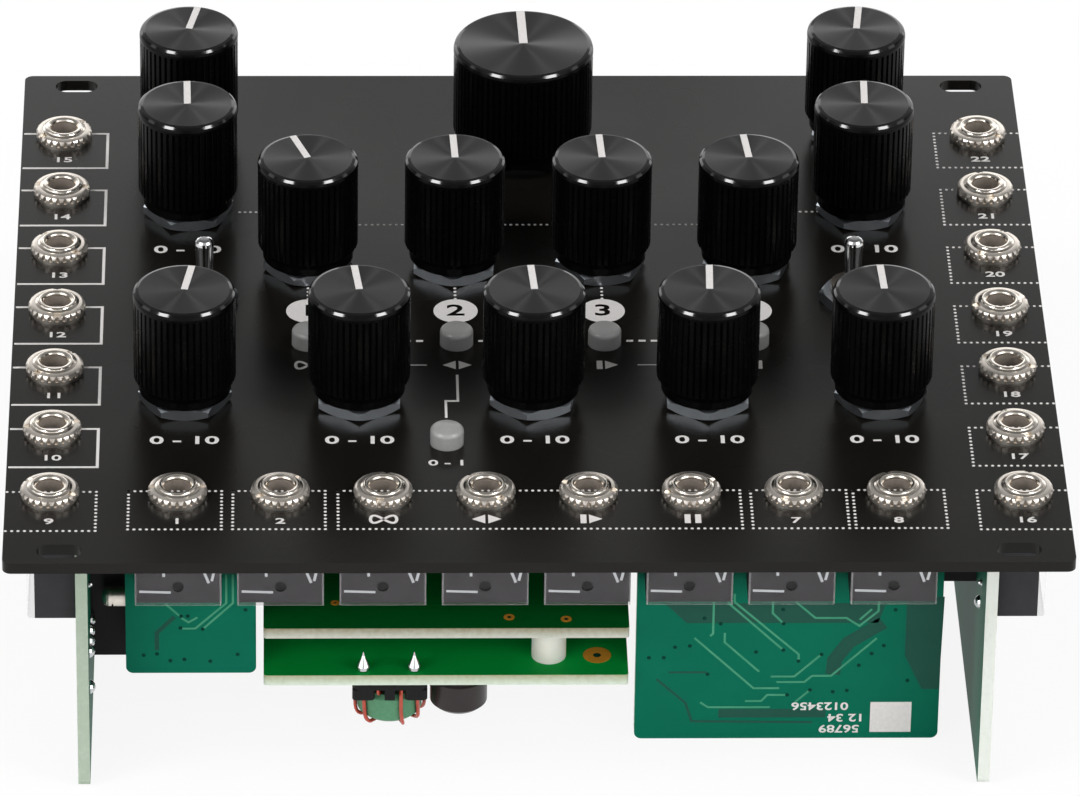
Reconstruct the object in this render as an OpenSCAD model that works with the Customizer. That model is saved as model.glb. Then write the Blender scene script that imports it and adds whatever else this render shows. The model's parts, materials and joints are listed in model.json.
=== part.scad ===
// Rack delay module: a black 28 HP panel carrying knobs, toggles, buttons and jacks,
// with three standing jack boards and three lying boards behind it.
// The panel faces up (+Z). The origin is the centre of the panel's rear face.

/* [Front panel] */
// Width of the panel
panel_w = 141.9; // [136:0.1:150]
// Height of the panel
panel_h = 128.5; // [124:0.1:134]
// Thickness of the panel
panel_t = 1.6; // [1.4:0.1:2.2]
// Radius of the panel's corners
panel_corner_r = 1.2; // [0.4:0.1:2.5]
// Distance from the panel's sides to the middle of the rail slots
slot_inset_x = 7.45; // [6:0.05:10]
// Distance from the panel's top and bottom edges to the middle of the rail slots
slot_inset_y = 3; // [2.8:0.1:4]
// End-to-end length of a rail slot
slot_len = 6; // [4:0.1:7]
// Width of a rail slot
slot_w = 3.2; // [2.6:0.1:3.4]

/* [Knobs] */
// Diameter of a small knob over its flutes
knob_d = 13.9; // [13.2:0.1:16]
// Diameter of the large knob over its flutes
large_knob_d = 19.7; // [16:0.1:23]
// Height of every knob
knob_h = 15.4; // [14:0.1:18]
// Height of the plain skirt below the flutes
skirt_h = 1.1; // [0.6:0.1:3]
// Height of the cone from the skirt out to the flutes
skirt_cone_h = 1.0; // [0.5:0.1:2]
// How far the skirt lies inside the flutes
skirt_inset = 0.7; // [0.4:0.05:1]
// Plain band between the flutes and the top chamfer
top_band_h = 0.4; // [0.2:0.1:2]
// Rounding of a knob's top edge
knob_round = 0.8; // [0.3:0.05:1]
// Number of flutes around a small knob
flute_count = 48; // [24:2:60]
// Depth of a flute
flute_depth = 0.25; // [0.1:0.05:0.35]
// Width of the pointer groove in a small knob's top
pointer_w = 1; // [0.5:0.05:1.4]
// Width of the pointer groove in the large knob's top
large_pointer_w = 1.25; // [0.6:0.05:1.8]
// Depth of the pointer groove
pointer_depth = 0.2; // [0.1:0.05:0.4]
// Distance from a knob's axis to the groove's inner end
pointer_start = 0.1; // [0:0.1:3]

/* [Control layout] */
// Column of the four outer knobs, left and right of the middle
outer_knob_x = 47.2; // [46:0.1:48]
// Row of the topmost outer knobs
top_knob_y = 47.4; // [44:0.1:50]
// Row of the second outer knobs
upper_knob_y = 26.3; // [22:0.1:30]
// Row of the large knob
large_knob_y = 43.2; // [38:0.1:47]
// Row of the four head knobs
head_knob_y = 11.5; // [9:0.1:14]
// Spacing of the head knobs and the head buttons
head_pitch = 20.3; // [19:0.1:21.5]
// Row of the head buttons
head_button_y = -8.9; // [-10.5:0.1:-7.5]
// Row of the five lower knobs
low_knob_y = -23.45; // [-26:0.05:-21]
// Spacing of the five lower knobs
low_pitch = 23.6; // [21:0.1:23.8]
// Place of the single lower button
low_button = [-11.85, -34.4];
// Place of the upper pair of buttons, right one (the left one mirrors it)
upper_button = [30, 40];
// Place of the right toggle (the left one mirrors it)
toggle_place = [44.7, 2];

/* [Potentiometers] */
// Height of a pot's body, from the control board to the panel
pot_h = 10; // [9:0.1:12]
// Width of a pot's body
pot_w = 9.8; // [9:0.1:10.6]
// Length of a pot's base
pot_l = 11.4; // [10.6:0.1:12.5]
// Thread diameter of a pot's bushing
pot_thread_d = 7; // [6.8:0.1:8]
// Height of a pot's bushing above the panel
pot_bushing_h = 3; // [2.4:0.1:4]
// Diameter of a pot's shaft
shaft_d = 6; // [5:0.1:6.2]
// Height of a shaft above the panel
shaft_rise = 13.5; // [10:0.1:14.5]
// Depth of the flat on a shaft
shaft_flat = 1.5; // [0.8:0.1:2]
// Distance across the flats of a pot's nut
pot_nut_af = 11; // [10:0.1:12]
// Height of a pot's nut
pot_nut_h = 1.7; // [1.2:0.1:2.2]

/* [Toggles] */
// Diameter of a toggle lever's tip
lever_tip_d = 2.6; // [2:0.1:3]
// Diameter of a toggle lever where it meets its ball
lever_root_d = 1.9; // [1.4:0.1:2]
// Height of a lever's tip above the panel
lever_rise = 10.3; // [8:0.1:13]
// Diameter of the ball that a lever turns on
lever_ball_d = 3.6; // [3:0.1:3.8]
// Height of the ball's centre above the panel
pivot_rise = 1.2; // [0.8:0.1:1.6]
// Thread diameter of a toggle's bushing
toggle_thread_d = 6; // [5.6:0.1:6.6]
// Height of a toggle's bushing above the panel
toggle_bushing_h = 3; // [2.6:0.1:4]
// Width of a toggle's body
toggle_w = 7; // [6.8:0.1:9]
// Length of a toggle's body
toggle_l = 12.7; // [10:0.1:14]
// Distance across the flats of a toggle's nut
toggle_nut_af = 8; // [7.6:0.1:9]
// Height of a toggle's nut
toggle_nut_h = 1.7; // [1.2:0.1:2.2]

/* [Buttons] */
// Diameter of a button's cap
button_d = 4.55; // [3.8:0.05:5]
// Height of a button's cap above the panel
button_rise = 2.6; // [1.5:0.1:3]
// Crown of a button's top
button_crown = 0.2; // [0.1:0.05:0.8]
// Travel of a button
button_travel = 0.5; // [0.2:0.05:0.7]
// Diameter of the flange that keeps a cap behind the panel
button_flange_d = 6; // [5.6:0.1:6.6]
// Thickness of that flange
button_flange_t = 0.8; // [0.5:0.1:1.2]
// Diameter of a button's stem
button_stem_d = 3.4; // [2.6:0.1:3.6]
// Length of a button's stem below the flange
button_stem_len = 3.5; // [2:0.1:4.5]
// Width of a button's switch
switch_w = 6; // [5:0.1:7]

/* [Jacks] */
// Distance from the panel's side edge to a jack column
jack_side_inset = 5.95; // [5.6:0.05:6.4]
// Distance from the panel's lower edge to the jack row
jack_row_inset = 16.6; // [15:0.05:17]
// Spacing of the jacks in a column
jack_column_pitch = 15.75; // [14.5:0.05:15.9]
// Spacing of the jacks in the row
jack_row_pitch = 13.71; // [12.8:0.01:13.9]
// Bore for the plug
plug_bore_d = 3.6; // [3.5:0.05:3.8]
// Depth of the plug bore below the panel's rear face
plug_depth = 11; // [9:0.1:12.5]
// Height of a jack's sleeve above the panel
sleeve_rise = 1.9; // [1.85:0.05:2.6]
// Thread diameter of a jack's sleeve
sleeve_thread_d = 6; // [5.6:0.1:6.2]
// Diameter of the plain rim at a sleeve's top
sleeve_rim_d = 5.4; // [5:0.1:5.6]
// Diameter of a jack's round nut
jack_nut_d = 7.9; // [7.4:0.1:9]
// Height of a jack's round nut
jack_nut_h = 1.5; // [1.2:0.05:1.55]
// Number of teeth around a jack's nut
jack_nut_teeth = 24; // [16:2:30]
// Width of a jack's body along its board
jack_w = 11.6; // [10.5:0.1:12.4]
// Height of a jack's body below the panel
jack_body_h = 14.1; // [13.4:0.1:16]
// Distance from a plug's axis back to the board
jack_axis_back = 3.4; // [3:0.05:3.8]
// Distance from a plug's axis to the front of the housing
jack_axis_front = 2.1; // [1.95:0.05:2.4]
// Thickness of the clear lid on a jack
jack_lid_t = 1; // [0.6:0.05:1.4]

/* [Boards] */
// Thickness of every board
board_t = 1.6; // [1.2:0.1:2]
// Radius of the boards' corners
board_corner_r = 1; // [0.4:0.1:2]
// Distance from the panel's top and bottom edges to the ends of the side boards
side_board_inset = 9.25; // [8:0.05:10]
// Depth of the side boards behind the panel
side_board_depth = 40.4; // [38:0.1:46]
// Depth of the right leg of the front board
right_leg_depth = 40; // [36:0.1:40.4]
// Depth of the left leg of the front board
left_leg_depth = 29.1; // [24:0.1:36]
// Depth of the strip that joins the legs
strip_depth = 13; // [10:0.1:14]
// Gap between each end of the front board and the side board there
front_board_gap = 4.8; // [2:0.1:5.8]
// Width of the main and power boards
main_board_w = 49.4; // [46:0.1:51]
// Middle of the main and power boards, left of the panel's middle
main_board_x = -11.9; // [-13:0.1:-10]
// How far the main board comes out in front of the front board
main_board_nose = 1.75; // [1:0.05:4]
// Length of the main and power boards
main_board_l = 86; // [70:0.5:92]
// Height of the spacers between the control and main boards
spacer_h = 9.2; // [7:0.1:12]
// Height of the pillars between the main and power boards
pillar_h = 6; // [5:0.1:8]
// Diameter of a nylon pillar
pillar_d = 4.7; // [4:0.1:6]
// Distance across the flats of a hex spacer
spacer_af = 4.5; // [4:0.1:5.5]
// Place of the front pillar, from the power board's front left corner
front_pillar = [38.7, 4.9];
// Distance from the other pillars' and spacers' axes to the boards' edges
pillar_inset = 6; // [4:0.1:8]

/* [Power parts] */
// Place of the choke's axis, from the power board's front left corner
choke_place = [17.1, 5.4];
// Outside diameter of the choke's core
core_od = 8.8; // [8:0.1:10]
// Inside diameter of the choke's core
core_id = 4.4; // [4.4:0.1:4.8]
// Height of the choke's core
core_h = 4.3; // [3:0.1:4.5]
// Diameter of the winding wire
wire_d = 0.55; // [0.4:0.05:0.6]
// Whole loops in each of the two windings
wire_loops = 3; // [2:1:3]
// Turn of the winding around the core for each loop
loop_step = 34; // [34:0.5:38]
// Side of the choke's base
base_w = 10.2; // [9.5:0.1:10.4]
// Height of the choke's base, down to the core
base_h = 2.7; // [2.5:0.1:3.5]
// Place of the capacitor's axis, from the power board's front left corner
capacitor_place = [26.5, 4.6];
// Diameter of the capacitor
capacitor_d = 7.8; // [6:0.1:8.2]
// Height of the capacitor
capacitor_h = 5.6; // [5:0.1:8]
// Outer size of the power header
header_size = [25.8, 8.9, 8.8];
// Wall of the power header
header_wall = 1.1; // [0.8:0.1:1.5]
// Place of the power header's middle, from the power board's front left corner
header_place = [24.7, 60];

/* [Clearances] */
// Radial gap around a thread in its panel hole and its nut
thread_gap = 0.05; // [0.02:0.01:0.15]
// Radial running gap around a shaft and a stem
running_gap = 0.05; // [0.02:0.01:0.09]
// Radial gap around a shaft in its knob
knob_fit = 0.02; // [0.01:0.01:0.05]
// Radial gap around a button in its panel hole
button_gap = 0.08; // [0.05:0.01:0.2]
// Gap between a knob and the nut under it, and between other parts that pass
free_gap = 0.3; // [0.2:0.05:0.6]
// Gap between boards that stand beside each other
board_gap = 0.6; // [0.4:0.1:0.9]
// Gap on each side of the main board in the notch
notch_gap = 1; // [0.6:0.1:2]

/* [Hidden] */
$fn = 64;
eps = 0.01;
front_z = panel_t;

// The controls are laid out for a panel of this size, and move with its edges when it grows or shrinks.
layout_size = [141.9, 128.5];
layout_growth = [panel_w / layout_size[0], panel_h / layout_size[1]];
function laid(place) = [place[0] * layout_growth[0], place[1] * layout_growth[1]];

// Places of the jacks: x, y and the turn of the body about the plug's axis.
row_pitch = jack_row_pitch * layout_growth[0];
column_pitch = jack_column_pitch * layout_growth[1];
jack_x = panel_w / 2 - jack_side_inset;
jack_row_y = -panel_h / 2 + jack_row_inset;
jack_column_count = 7;
jack_row_count = 8;
jack_spots = concat(
    [for (i = [0:jack_row_count - 1]) [(i - (jack_row_count - 1) / 2) * row_pitch, jack_row_y, 0]],
    [for (i = [0:jack_column_count - 1]) [-jack_x, jack_row_y + i * column_pitch, -90]],
    [for (i = [0:jack_column_count - 1]) [jack_x, jack_row_y + i * column_pitch, 90]]
);

// Knobs: name, place, diameter and the pointer's turn at rest, anticlockwise from the top.
head_xs = [for (i = [0:3]) (i - 1.5) * head_pitch];
low_xs = [for (i = [0:4]) (i - 2) * low_pitch];
head_turns = [19, 2, 2.4, 5];
low_turns = [-9, 6, 3.5, -1.7, 2.3];
knobs = concat(
    [
        ["top_left", laid([-outer_knob_x, top_knob_y]), knob_d, -11],
        ["upper_left", laid([-outer_knob_x, upper_knob_y]), knob_d, 1],
        ["top_right", laid([outer_knob_x, top_knob_y]), knob_d, -6],
        ["upper_right", laid([outer_knob_x, upper_knob_y]), knob_d, -2],
        ["large", laid([0, large_knob_y]), large_knob_d, 1.5]
    ],
    [for (i = [0:3]) [str("head_", i + 1), laid([head_xs[i], head_knob_y]), knob_d, head_turns[i]]],
    [for (i = [0:4]) [str("low_", i + 1), laid([low_xs[i], low_knob_y]), knob_d, low_turns[i]]]
);
nut_turns = [15, 8, 20, 5, 0, 12, 27, 8, 14, 0, 30, 21, 30, 4];

// Buttons: name and place.
buttons = concat(
    [for (i = [0:3]) [str("head_", i + 1), laid([head_xs[i], head_button_y])]],
    [
        ["low", laid(low_button)],
        ["upper_left", laid([-upper_button[0], upper_button[1]])],
        ["upper_right", laid(upper_button)]
    ]
);
toggles = [["left", laid([-toggle_place[0], toggle_place[1]])], ["right", laid(toggle_place)]];

// Heights of the lying boards.
control_top = -pot_h;
control_bottom = control_top - board_t;
main_top = control_bottom - spacer_h;
main_bottom = main_top - board_t;
power_top = main_bottom - pillar_h;
power_bottom = power_top - board_t;

// Faces and edges of the standing boards.
side_face_x = jack_x - jack_axis_back;
side_inner_x = side_face_x - board_t;
front_face_y = jack_row_y + jack_axis_back;
front_rear_y = front_face_y + board_t;
board_top_z = -board_gap;
main_left_x = main_board_x - main_board_w / 2;
main_front_y = front_face_y - main_board_nose;
main_rear_y = main_front_y + main_board_l;
side_rear_y = panel_h / 2 - side_board_inset;
front_board_reach = side_inner_x - front_board_gap;
notch_left_x = main_left_x - notch_gap;
notch_right_x = main_left_x + main_board_w + notch_gap;

// Heights above the panel.
pot_nut_top = front_z + pot_nut_h;
knob_bottom = pot_nut_top + free_gap;
pot_bushing_top = front_z + pot_bushing_h;
shaft_bottom = control_top + 3;
pivot_z = front_z + pivot_rise;
flange_top = -free_gap;
flange_bottom = flange_top - button_flange_t;
switch_top = flange_bottom - button_travel - free_gap;
stem_bottom = flange_bottom - button_stem_len;

// Pins and headers between the boards.
corner_header_w = 8.5;
corner_header_l = 5.5;
corner_header_hs = [18.2, 6.5];
pin_d = 2.7;
pin_len = 10.4;
pin_inset = 1.6;
pin_round = 0.9;
pin_collar = 1.3;
pin_groove = 0.25;
pin_z = main_top + 1.8;
deck_header = [20.3, 5];
deck_header_inset = 14;
plate_h = 1.1;

FIXED_NODES = [
    "front_panel", "jack_nuts", "jack_sleeves", "jack_housings", "jack_lids", "jack_contacts",
    "hex_nuts", "pot_bodies", "toggle_bodies", "button_switches", "side_jack_boards",
    "front_jack_board", "control_board", "main_board", "power_board", "nylon_pillars",
    "steel_spacers", "board_headers", "power_header", "choke_base", "choke_core",
    "choke_winding", "power_capacitor"
];

// Shapes that several parts share.

module at(place, z = 0) {
    translate([place[0], place[1], z]) children();
}

module at_jacks() {
    for (s = jack_spots) at(s) rotate(s[2]) children();
}

// A rectangle from two opposite corners, with round corners.
module rounded_rect(low, high, r) {
    size = high - low;
    translate(low + [r, 0]) square([size[0] - 2 * r, size[1]]);
    translate(low + [0, r]) square([size[0], size[1] - 2 * r]);
    for (x = [low[0] + r, high[0] - r], y = [low[1] + r, high[1] - r]) translate([x, y]) circle(r);
}

// A hex nut whose corners are turned off at both ends.
module hex_nut(af, h, bore_d) {
    flat_r = af / 2;
    corner_r = flat_r / cos(30);
    fall = (corner_r - flat_r) * tan(30);
    difference() {
        intersection() {
            cylinder(r = corner_r, h = h, $fn = 6);
            rotate_extrude() polygon([
                [0, 0], [flat_r, 0], [corner_r, fall], [corner_r, h - fall], [flat_r, h], [0, h]
            ]);
        }
        translate([0, 0, -eps]) cylinder(d = bore_d, h = h + 2 * eps);
    }
}

// A block given by its low and high corners.
module block(low, high) {
    translate(low) cube(high - low);
}

// Front panel: a plate with rail slots and a hole for every control.

module rail_slot() {
    for (s = [-1, 1]) translate([s * (slot_len - slot_w) / 2, 0]) circle(d = slot_w);
    square([slot_len - slot_w, slot_w], center = true);
}

module front_panel() {
    half = [panel_w, panel_h] / 2;
    color("#2e2e2d") linear_extrude(panel_t) difference() {
        rounded_rect(-half, half, panel_corner_r);
        for (sx = [-1, 1], sy = [-1, 1]) translate([sx * (half[0] - slot_inset_x), sy * (half[1] - slot_inset_y)])
            rail_slot();
        for (s = jack_spots) translate([s[0], s[1]]) circle(d = sleeve_thread_d + 2 * thread_gap);
        for (k = knobs) translate(k[1]) circle(d = pot_thread_d + 2 * thread_gap);
        for (t = toggles) translate(t[1]) circle(d = toggle_thread_d + 2 * thread_gap);
        for (b = buttons) translate(b[1]) circle(d = button_d + 2 * button_gap);
    }
}

// Jacks: sleeve, toothed nut, housing, clear lid and contact springs.

sleeve_top = front_z + sleeve_rise;
mouth_round = 0.55;
nut_notch = 0.45;
nut_foot_h = 0.45;
nut_foot_inset = 0.15;
nut_band = 0.9;
nut_shoulder_w = 0.75;
nut_slot_w = 1;
nut_slot_depth = 0.35;
round_step = 22.5;

// Points of a quarter round from the side (angle 0) up to the top (angle 90), about a centre.
function quarter(centre, w, h, step = round_step) =
    [for (a = [0:step:90]) centre + [w * cos(a), h * sin(a)]];

module jack_sleeve() {
    r = sleeve_thread_d / 2;
    rim = sleeve_rim_d / 2;
    bore = plug_bore_d / 2;
    crest = bore + mouth_round;
    thread_top = front_z + jack_nut_h;
    rim_foot = thread_top + (r - rim) / 2;
    mouth = quarter([crest, sleeve_top - mouth_round], -mouth_round, mouth_round);
    rotate_extrude() polygon(concat(
        [[bore, 0], [r, 0], [r, thread_top]],
        quarter([crest, rim_foot], rim - crest, sleeve_top - rim_foot),
        [for (i = [len(mouth) - 2:-1:0]) mouth[i]]
    ));
}

module jack_sleeves() {
    color("#d9d6d2") at_jacks() jack_sleeve();
}

module jack_nut() {
    r = jack_nut_d / 2;
    foot_r = r - nut_foot_inset;
    bore = sleeve_thread_d / 2 + thread_gap;
    difference() {
        rotate_extrude() polygon(concat(
            [[bore, 0], [foot_r, 0], [foot_r, nut_foot_h], [r, nut_foot_h]],
            quarter([r - nut_shoulder_w, nut_band], nut_shoulder_w, jack_nut_h - nut_band),
            [[bore, jack_nut_h]]
        ));
        for (i = [0:jack_nut_teeth - 1]) rotate(i * 360 / jack_nut_teeth)
            translate([r, 0, nut_foot_h - eps]) rotate(45)
                translate(-[nut_notch, nut_notch, 0] / 2) cube([nut_notch, nut_notch, jack_nut_h]);
        translate([-r, -nut_slot_w / 2, jack_nut_h - nut_slot_depth])
            cube([2 * r, nut_slot_w, nut_slot_depth + eps]);
    }
}

module jack_nuts() {
    nut_spin = 41;
    color("#d4d1cd")
        for (i = [0:len(jack_spots) - 1]) at(jack_spots[i], front_z) rotate(i * nut_spin) jack_nut();
}

// Contact springs: strips in shallow grooves under the lid, in the body's own x and height.
spring_t = 0.4;
spring_w = 0.35;
spring_depth = 0.3;
spring_runs = [
    [[-5.2, 1.75], [-1, 1.6]],
    [[-1.9, 4.1], [-2.1, 8.5]],
    [[3.2, 5.6], [4.1, 3.1]],
    [[4.5, 3.4], [5.1, 6.2]]
];
tip_hole_d = 1.6;
tip_hole_up = 2.5;

module spring_run(run, w, depth) {
    along = run[1] - run[0];
    translate([run[0][0], -jack_axis_front, run[0][1] - jack_body_h])
        rotate([0, -atan2(along[1], along[0]), 0])
            translate([0, spring_depth - depth, -w / 2]) cube([norm(along), depth, w]);
}

module jack_housing() {
    difference() {
        block([-jack_w / 2, -jack_axis_front, -jack_body_h], [jack_w / 2, jack_axis_back, 0]);
        translate([0, 0, -plug_depth]) cylinder(d = plug_bore_d, h = plug_depth + eps);
        for (run = spring_runs) spring_run(run, spring_t, spring_depth + eps);
        translate([0, -jack_axis_front - eps, tip_hole_up - jack_body_h])
            rotate([-90, 0, 0]) cylinder(d = tip_hole_d, h = spring_depth);
    }
}

module jack_housings() {
    color("#35343a") at_jacks() jack_housing();
}

module jack_contacts() {
    color("#e6e3dc") at_jacks() for (run = spring_runs) spring_run(run, spring_w, spring_depth);
}

module jack_lids() {
    lid_front = -jack_axis_front - jack_lid_t;
    bevel = jack_lid_t / 3;
    color("#8f8d92", 0.5) at_jacks() difference() {
        block([-jack_w / 2, lid_front, -jack_body_h], [jack_w / 2, -jack_axis_front, 0]);
        for (s = [-1, 1]) translate([s * jack_w / 2, lid_front, -jack_body_h / 2]) rotate(45)
            cube([bevel, bevel, jack_body_h + 1], center = true);
        translate([0, lid_front, -jack_body_h]) rotate([45, 0, 0])
            cube([jack_w + 1, bevel, bevel], center = true);
    }
}

// Potentiometers: base, metal can, collar and threaded bushing, with a running bore for the shaft.

pot_base_h = 2.4;
pot_can_top = -2.5;
pot_collar_d = 9.2;
pot_tab_w = 2.2;
pot_tab_t = 0.5;
pot_tab_h = 6;

module pot_body() {
    bore = shaft_d / 2 + running_gap;
    half = pot_w / 2;
    difference() {
        union() {
            block([-half, half - pot_l, control_top], [half, half, control_top + pot_base_h]);
            block([-half, -half, control_top], [half, half, pot_can_top]);
            translate([0, 0, pot_can_top]) cylinder(d = pot_collar_d, h = -pot_can_top);
            cylinder(d = pot_thread_d, h = pot_bushing_top);
            for (s = [-1, 1]) translate([s * (pot_w + pot_tab_t) / 2, 0, control_top + pot_tab_h / 2])
                cube([pot_tab_t, pot_tab_w, pot_tab_h], center = true);
        }
        translate([0, 0, shaft_bottom - free_gap]) cylinder(r = bore, h = pot_bushing_top - shaft_bottom + 1);
    }
}

module pot_bodies() {
    color("#9b9a96") for (k = knobs) at(k[1]) pot_body();
}

// The shaft has a flat above the bushing, on the side away from the pointer.
module shaft_form(gap) {
    r = shaft_d / 2 + gap;
    top = front_z + shaft_rise + gap;
    flat_z = pot_bushing_top + free_gap;
    difference() {
        translate([0, 0, shaft_bottom]) cylinder(r = r, h = top - shaft_bottom);
        translate([-r - 1, -r - 1, flat_z]) cube([2 * r + 2, shaft_flat + 1, top - flat_z + 1]);
    }
}

module shaft(k) {
    color("#c9c7c2") at(k[1]) rotate(k[3]) shaft_form(0);
}

module hex_nuts() {
    color("#d3d2cf") {
        for (i = [0:len(knobs) - 1]) at(knobs[i][1], front_z) rotate(nut_turns[i])
            hex_nut(pot_nut_af, pot_nut_h, pot_thread_d + 2 * thread_gap);
        for (t = toggles) at(t[1], front_z)
            hex_nut(toggle_nut_af, toggle_nut_h, toggle_thread_d + 2 * thread_gap);
    }
}

// Knobs: a turned skirt, a fluted barrel and a top with a rounded edge and a pointer groove.

knob_round_step = 30;
flute_land = 0.55;
flute_step = 0.03;

module fluted_outline(r, count) {
    step = 360 / count;
    polygon([
        for (i = [0:count - 1], p = [[0, r], [flute_land, r], [(1 + flute_land) / 2, r - flute_depth]])
            p[1] * [cos((i + p[0]) * step), sin((i + p[0]) * step)]
    ]);
}

module knob(k) {
    r = k[2] / 2;
    flute_r = r - flute_step;
    cone_top_r = flute_r - flute_depth - flute_step;
    count = 2 * round(flute_count * k[2] / knob_d / 2);
    barrel_bottom = skirt_h + skirt_cone_h;
    barrel_top = knob_h - knob_round - top_band_h;
    skirt_r = r - skirt_inset;
    recess_r = pot_thread_d / 2 + 2 * free_gap;
    recess_h = pot_bushing_top + free_gap - knob_bottom;
    groove_w = k[2] > knob_d ? large_pointer_w : pointer_w;
    color("#1b1b1c") at(k[1]) rotate(k[3]) difference() {
        translate([0, 0, knob_bottom]) difference() {
            union() {
                cylinder(r = skirt_r, h = skirt_h);
                translate([0, 0, skirt_h]) cylinder(r1 = skirt_r, r2 = cone_top_r, h = skirt_cone_h);
                translate([0, 0, barrel_bottom]) linear_extrude(barrel_top - barrel_bottom)
                    fluted_outline(flute_r, count);
                translate([0, 0, barrel_top]) rotate_extrude() polygon(concat(
                    [[0, 0], [r, 0]],
                    quarter([r - knob_round, top_band_h], knob_round, knob_round, knob_round_step),
                    [[0, top_band_h + knob_round]]
                ));
            }
            translate([0, 0, -eps]) cylinder(r = recess_r, h = recess_h + eps);
            translate([-groove_w / 2, pointer_start, knob_h - pointer_depth])
                cube([groove_w, r, pointer_depth + eps]);
        }
        shaft_form(knob_fit);
    }
}

// Toggles: body on the control board, threaded bushing with a socket, and a bat lever on a ball.

module toggle_body() {
    socket_r = lever_ball_d / 2 + running_gap;
    socket_depth = 2.6;
    bushing_top = front_z + toggle_bushing_h;
    difference() {
        union() {
            block([-toggle_w / 2, -toggle_l / 2, control_top], [toggle_w / 2, toggle_l / 2, 0]);
            cylinder(d = toggle_thread_d, h = bushing_top);
        }
        translate([0, 0, -socket_depth]) cylinder(r = socket_r, h = socket_depth + bushing_top + 1);
    }
}

module toggle_bodies() {
    color("#b9b7b3") for (t = toggles) at(t[1]) toggle_body();
}

module toggle_lever(t) {
    tip_r = lever_tip_d / 2;
    root_r = lever_root_d / 2;
    tail_len = 2.6;
    tip_round = 1;
    rise = front_z + lever_rise - pivot_z;
    color("#dcdad6") at(t[1], pivot_z) union() {
        sphere(d = lever_ball_d);
        translate([0, 0, -tail_len]) cylinder(r = root_r - 0.15, h = tail_len);
        rotate_extrude() polygon(concat(
            [[0, 0], [root_r, 0]],
            quarter([tip_r - tip_round, rise - tip_round], tip_round, tip_round),
            [[0, rise]]
        ));
    }
}

// Buttons: a crowned cap with a flange behind the panel and a stem in its switch.

module button(b) {
    r = button_d / 2;
    top = front_z + button_rise;
    edge = 0.65;
    edge_steps = 5;
    shoulder = top - button_crown - edge;
    crown_r = (pow(r - edge, 2) + pow(button_crown, 2)) / (2 * button_crown);
    half_turn = asin((r - edge) / crown_r);
    crown_steps = 5;
    crown = [
        for (i = [0:crown_steps])
            let (a = half_turn * (1 - i / crown_steps)) [crown_r * sin(a), top - crown_r * (1 - cos(a))]
    ];
    color("#8d8d8f") at(b[1]) rotate_extrude() polygon(concat(
        [
            [0, stem_bottom], [button_stem_d / 2, stem_bottom], [button_stem_d / 2, flange_bottom],
            [button_flange_d / 2, flange_bottom], [button_flange_d / 2, flange_top], [r, flange_top]
        ],
        [
            for (i = [0:edge_steps - 1])
                let (a = 90 * i / edge_steps) [r - edge + edge * cos(a), shoulder + edge * sin(a)]
        ],
        crown
    ));
}

module button_switches() {
    bore = button_stem_d / 2 + running_gap;
    bore_bottom = stem_bottom - button_travel - free_gap;
    half = switch_w / 2;
    color("#262627") for (b = buttons) at(b[1]) difference() {
        block([-half, -half, control_top], [half, half, switch_top]);
        translate([0, 0, bore_bottom]) cylinder(r = bore, h = switch_top - bore_bottom + 1);
    }
}

// Boards.

board_green = "#12704f";

module side_jack_boards() {
    color(board_green) for (s = [-1, 1])
        translate([s > 0 ? side_inner_x : -side_face_x, 0, 0]) rotate([90, 0, 90]) linear_extrude(board_t)
            rounded_rect([-side_rear_y, -side_board_depth], [side_rear_y, board_top_z], board_corner_r);
}

module front_jack_board() {
    r = board_corner_r;
    color(board_green) translate([0, front_rear_y, 0]) rotate([90, 0, 0]) linear_extrude(board_t) {
        rounded_rect([-front_board_reach, -left_leg_depth], [notch_left_x, board_top_z], r);
        rounded_rect([notch_right_x, -right_leg_depth], [front_board_reach, board_top_z], r);
        translate([notch_left_x - 2 * r, -strip_depth])
            square([notch_right_x - notch_left_x + 4 * r, strip_depth + board_top_z]);
    }
}

module control_board() {
    half_x = side_inner_x - board_gap;
    color(board_green) translate([0, 0, control_bottom]) linear_extrude(board_t)
        rounded_rect([-half_x, front_rear_y + board_gap], [half_x, side_rear_y], board_corner_r);
}

module deck_board(z) {
    far_corner = [main_left_x + main_board_w, main_rear_y];
    color("#0d6b35") translate([0, 0, z]) linear_extrude(board_t)
        rounded_rect([main_left_x, main_front_y], far_corner, board_corner_r / 2);
}

module main_board() {
    deck_board(main_bottom);
}

module power_board() {
    deck_board(power_bottom);
}

// Spacers and headers between the boards.

deck_corner = [main_left_x, main_front_y];
near = main_board_l / 3;
far = main_board_l - pillar_inset;
right = main_board_w - pillar_inset;
rear_spots = [[pillar_inset, near], [pillar_inset, far], [right, far]];

module nylon_pillars() {
    color("#e9e7e2") for (p = concat([front_pillar], rear_spots))
        at(deck_corner + p, power_top) cylinder(d = pillar_d, h = pillar_h);
}

module steel_spacers() {
    pin_end_x = pin_inset - side_inner_x + pin_len;
    color("#b5b3ae") {
        for (p = concat([[right, near]], rear_spots)) at(deck_corner + p, main_top)
            cylinder(d = spacer_af / cos(30), h = spacer_h, $fn = 6);
        translate([pin_end_x, front_rear_y + board_gap + pin_d / 2, pin_z])
            rotate([0, -90, 0]) round_pin();
    }
}

// A pin with a rounded end and a groove behind it, standing on its plain end.
module round_pin() {
    r = pin_d / 2;
    groove_top = pin_len - pin_collar;
    rotate_extrude() polygon(concat(
        [[0, 0], [r, 0], [r, groove_top - pin_groove], [r - pin_groove, groove_top - pin_groove],
         [r - pin_groove, groove_top], [r, groove_top]],
        quarter([r - pin_round, pin_len - pin_round], pin_round, pin_round),
        [[0, pin_len]]
    ));
}

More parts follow.
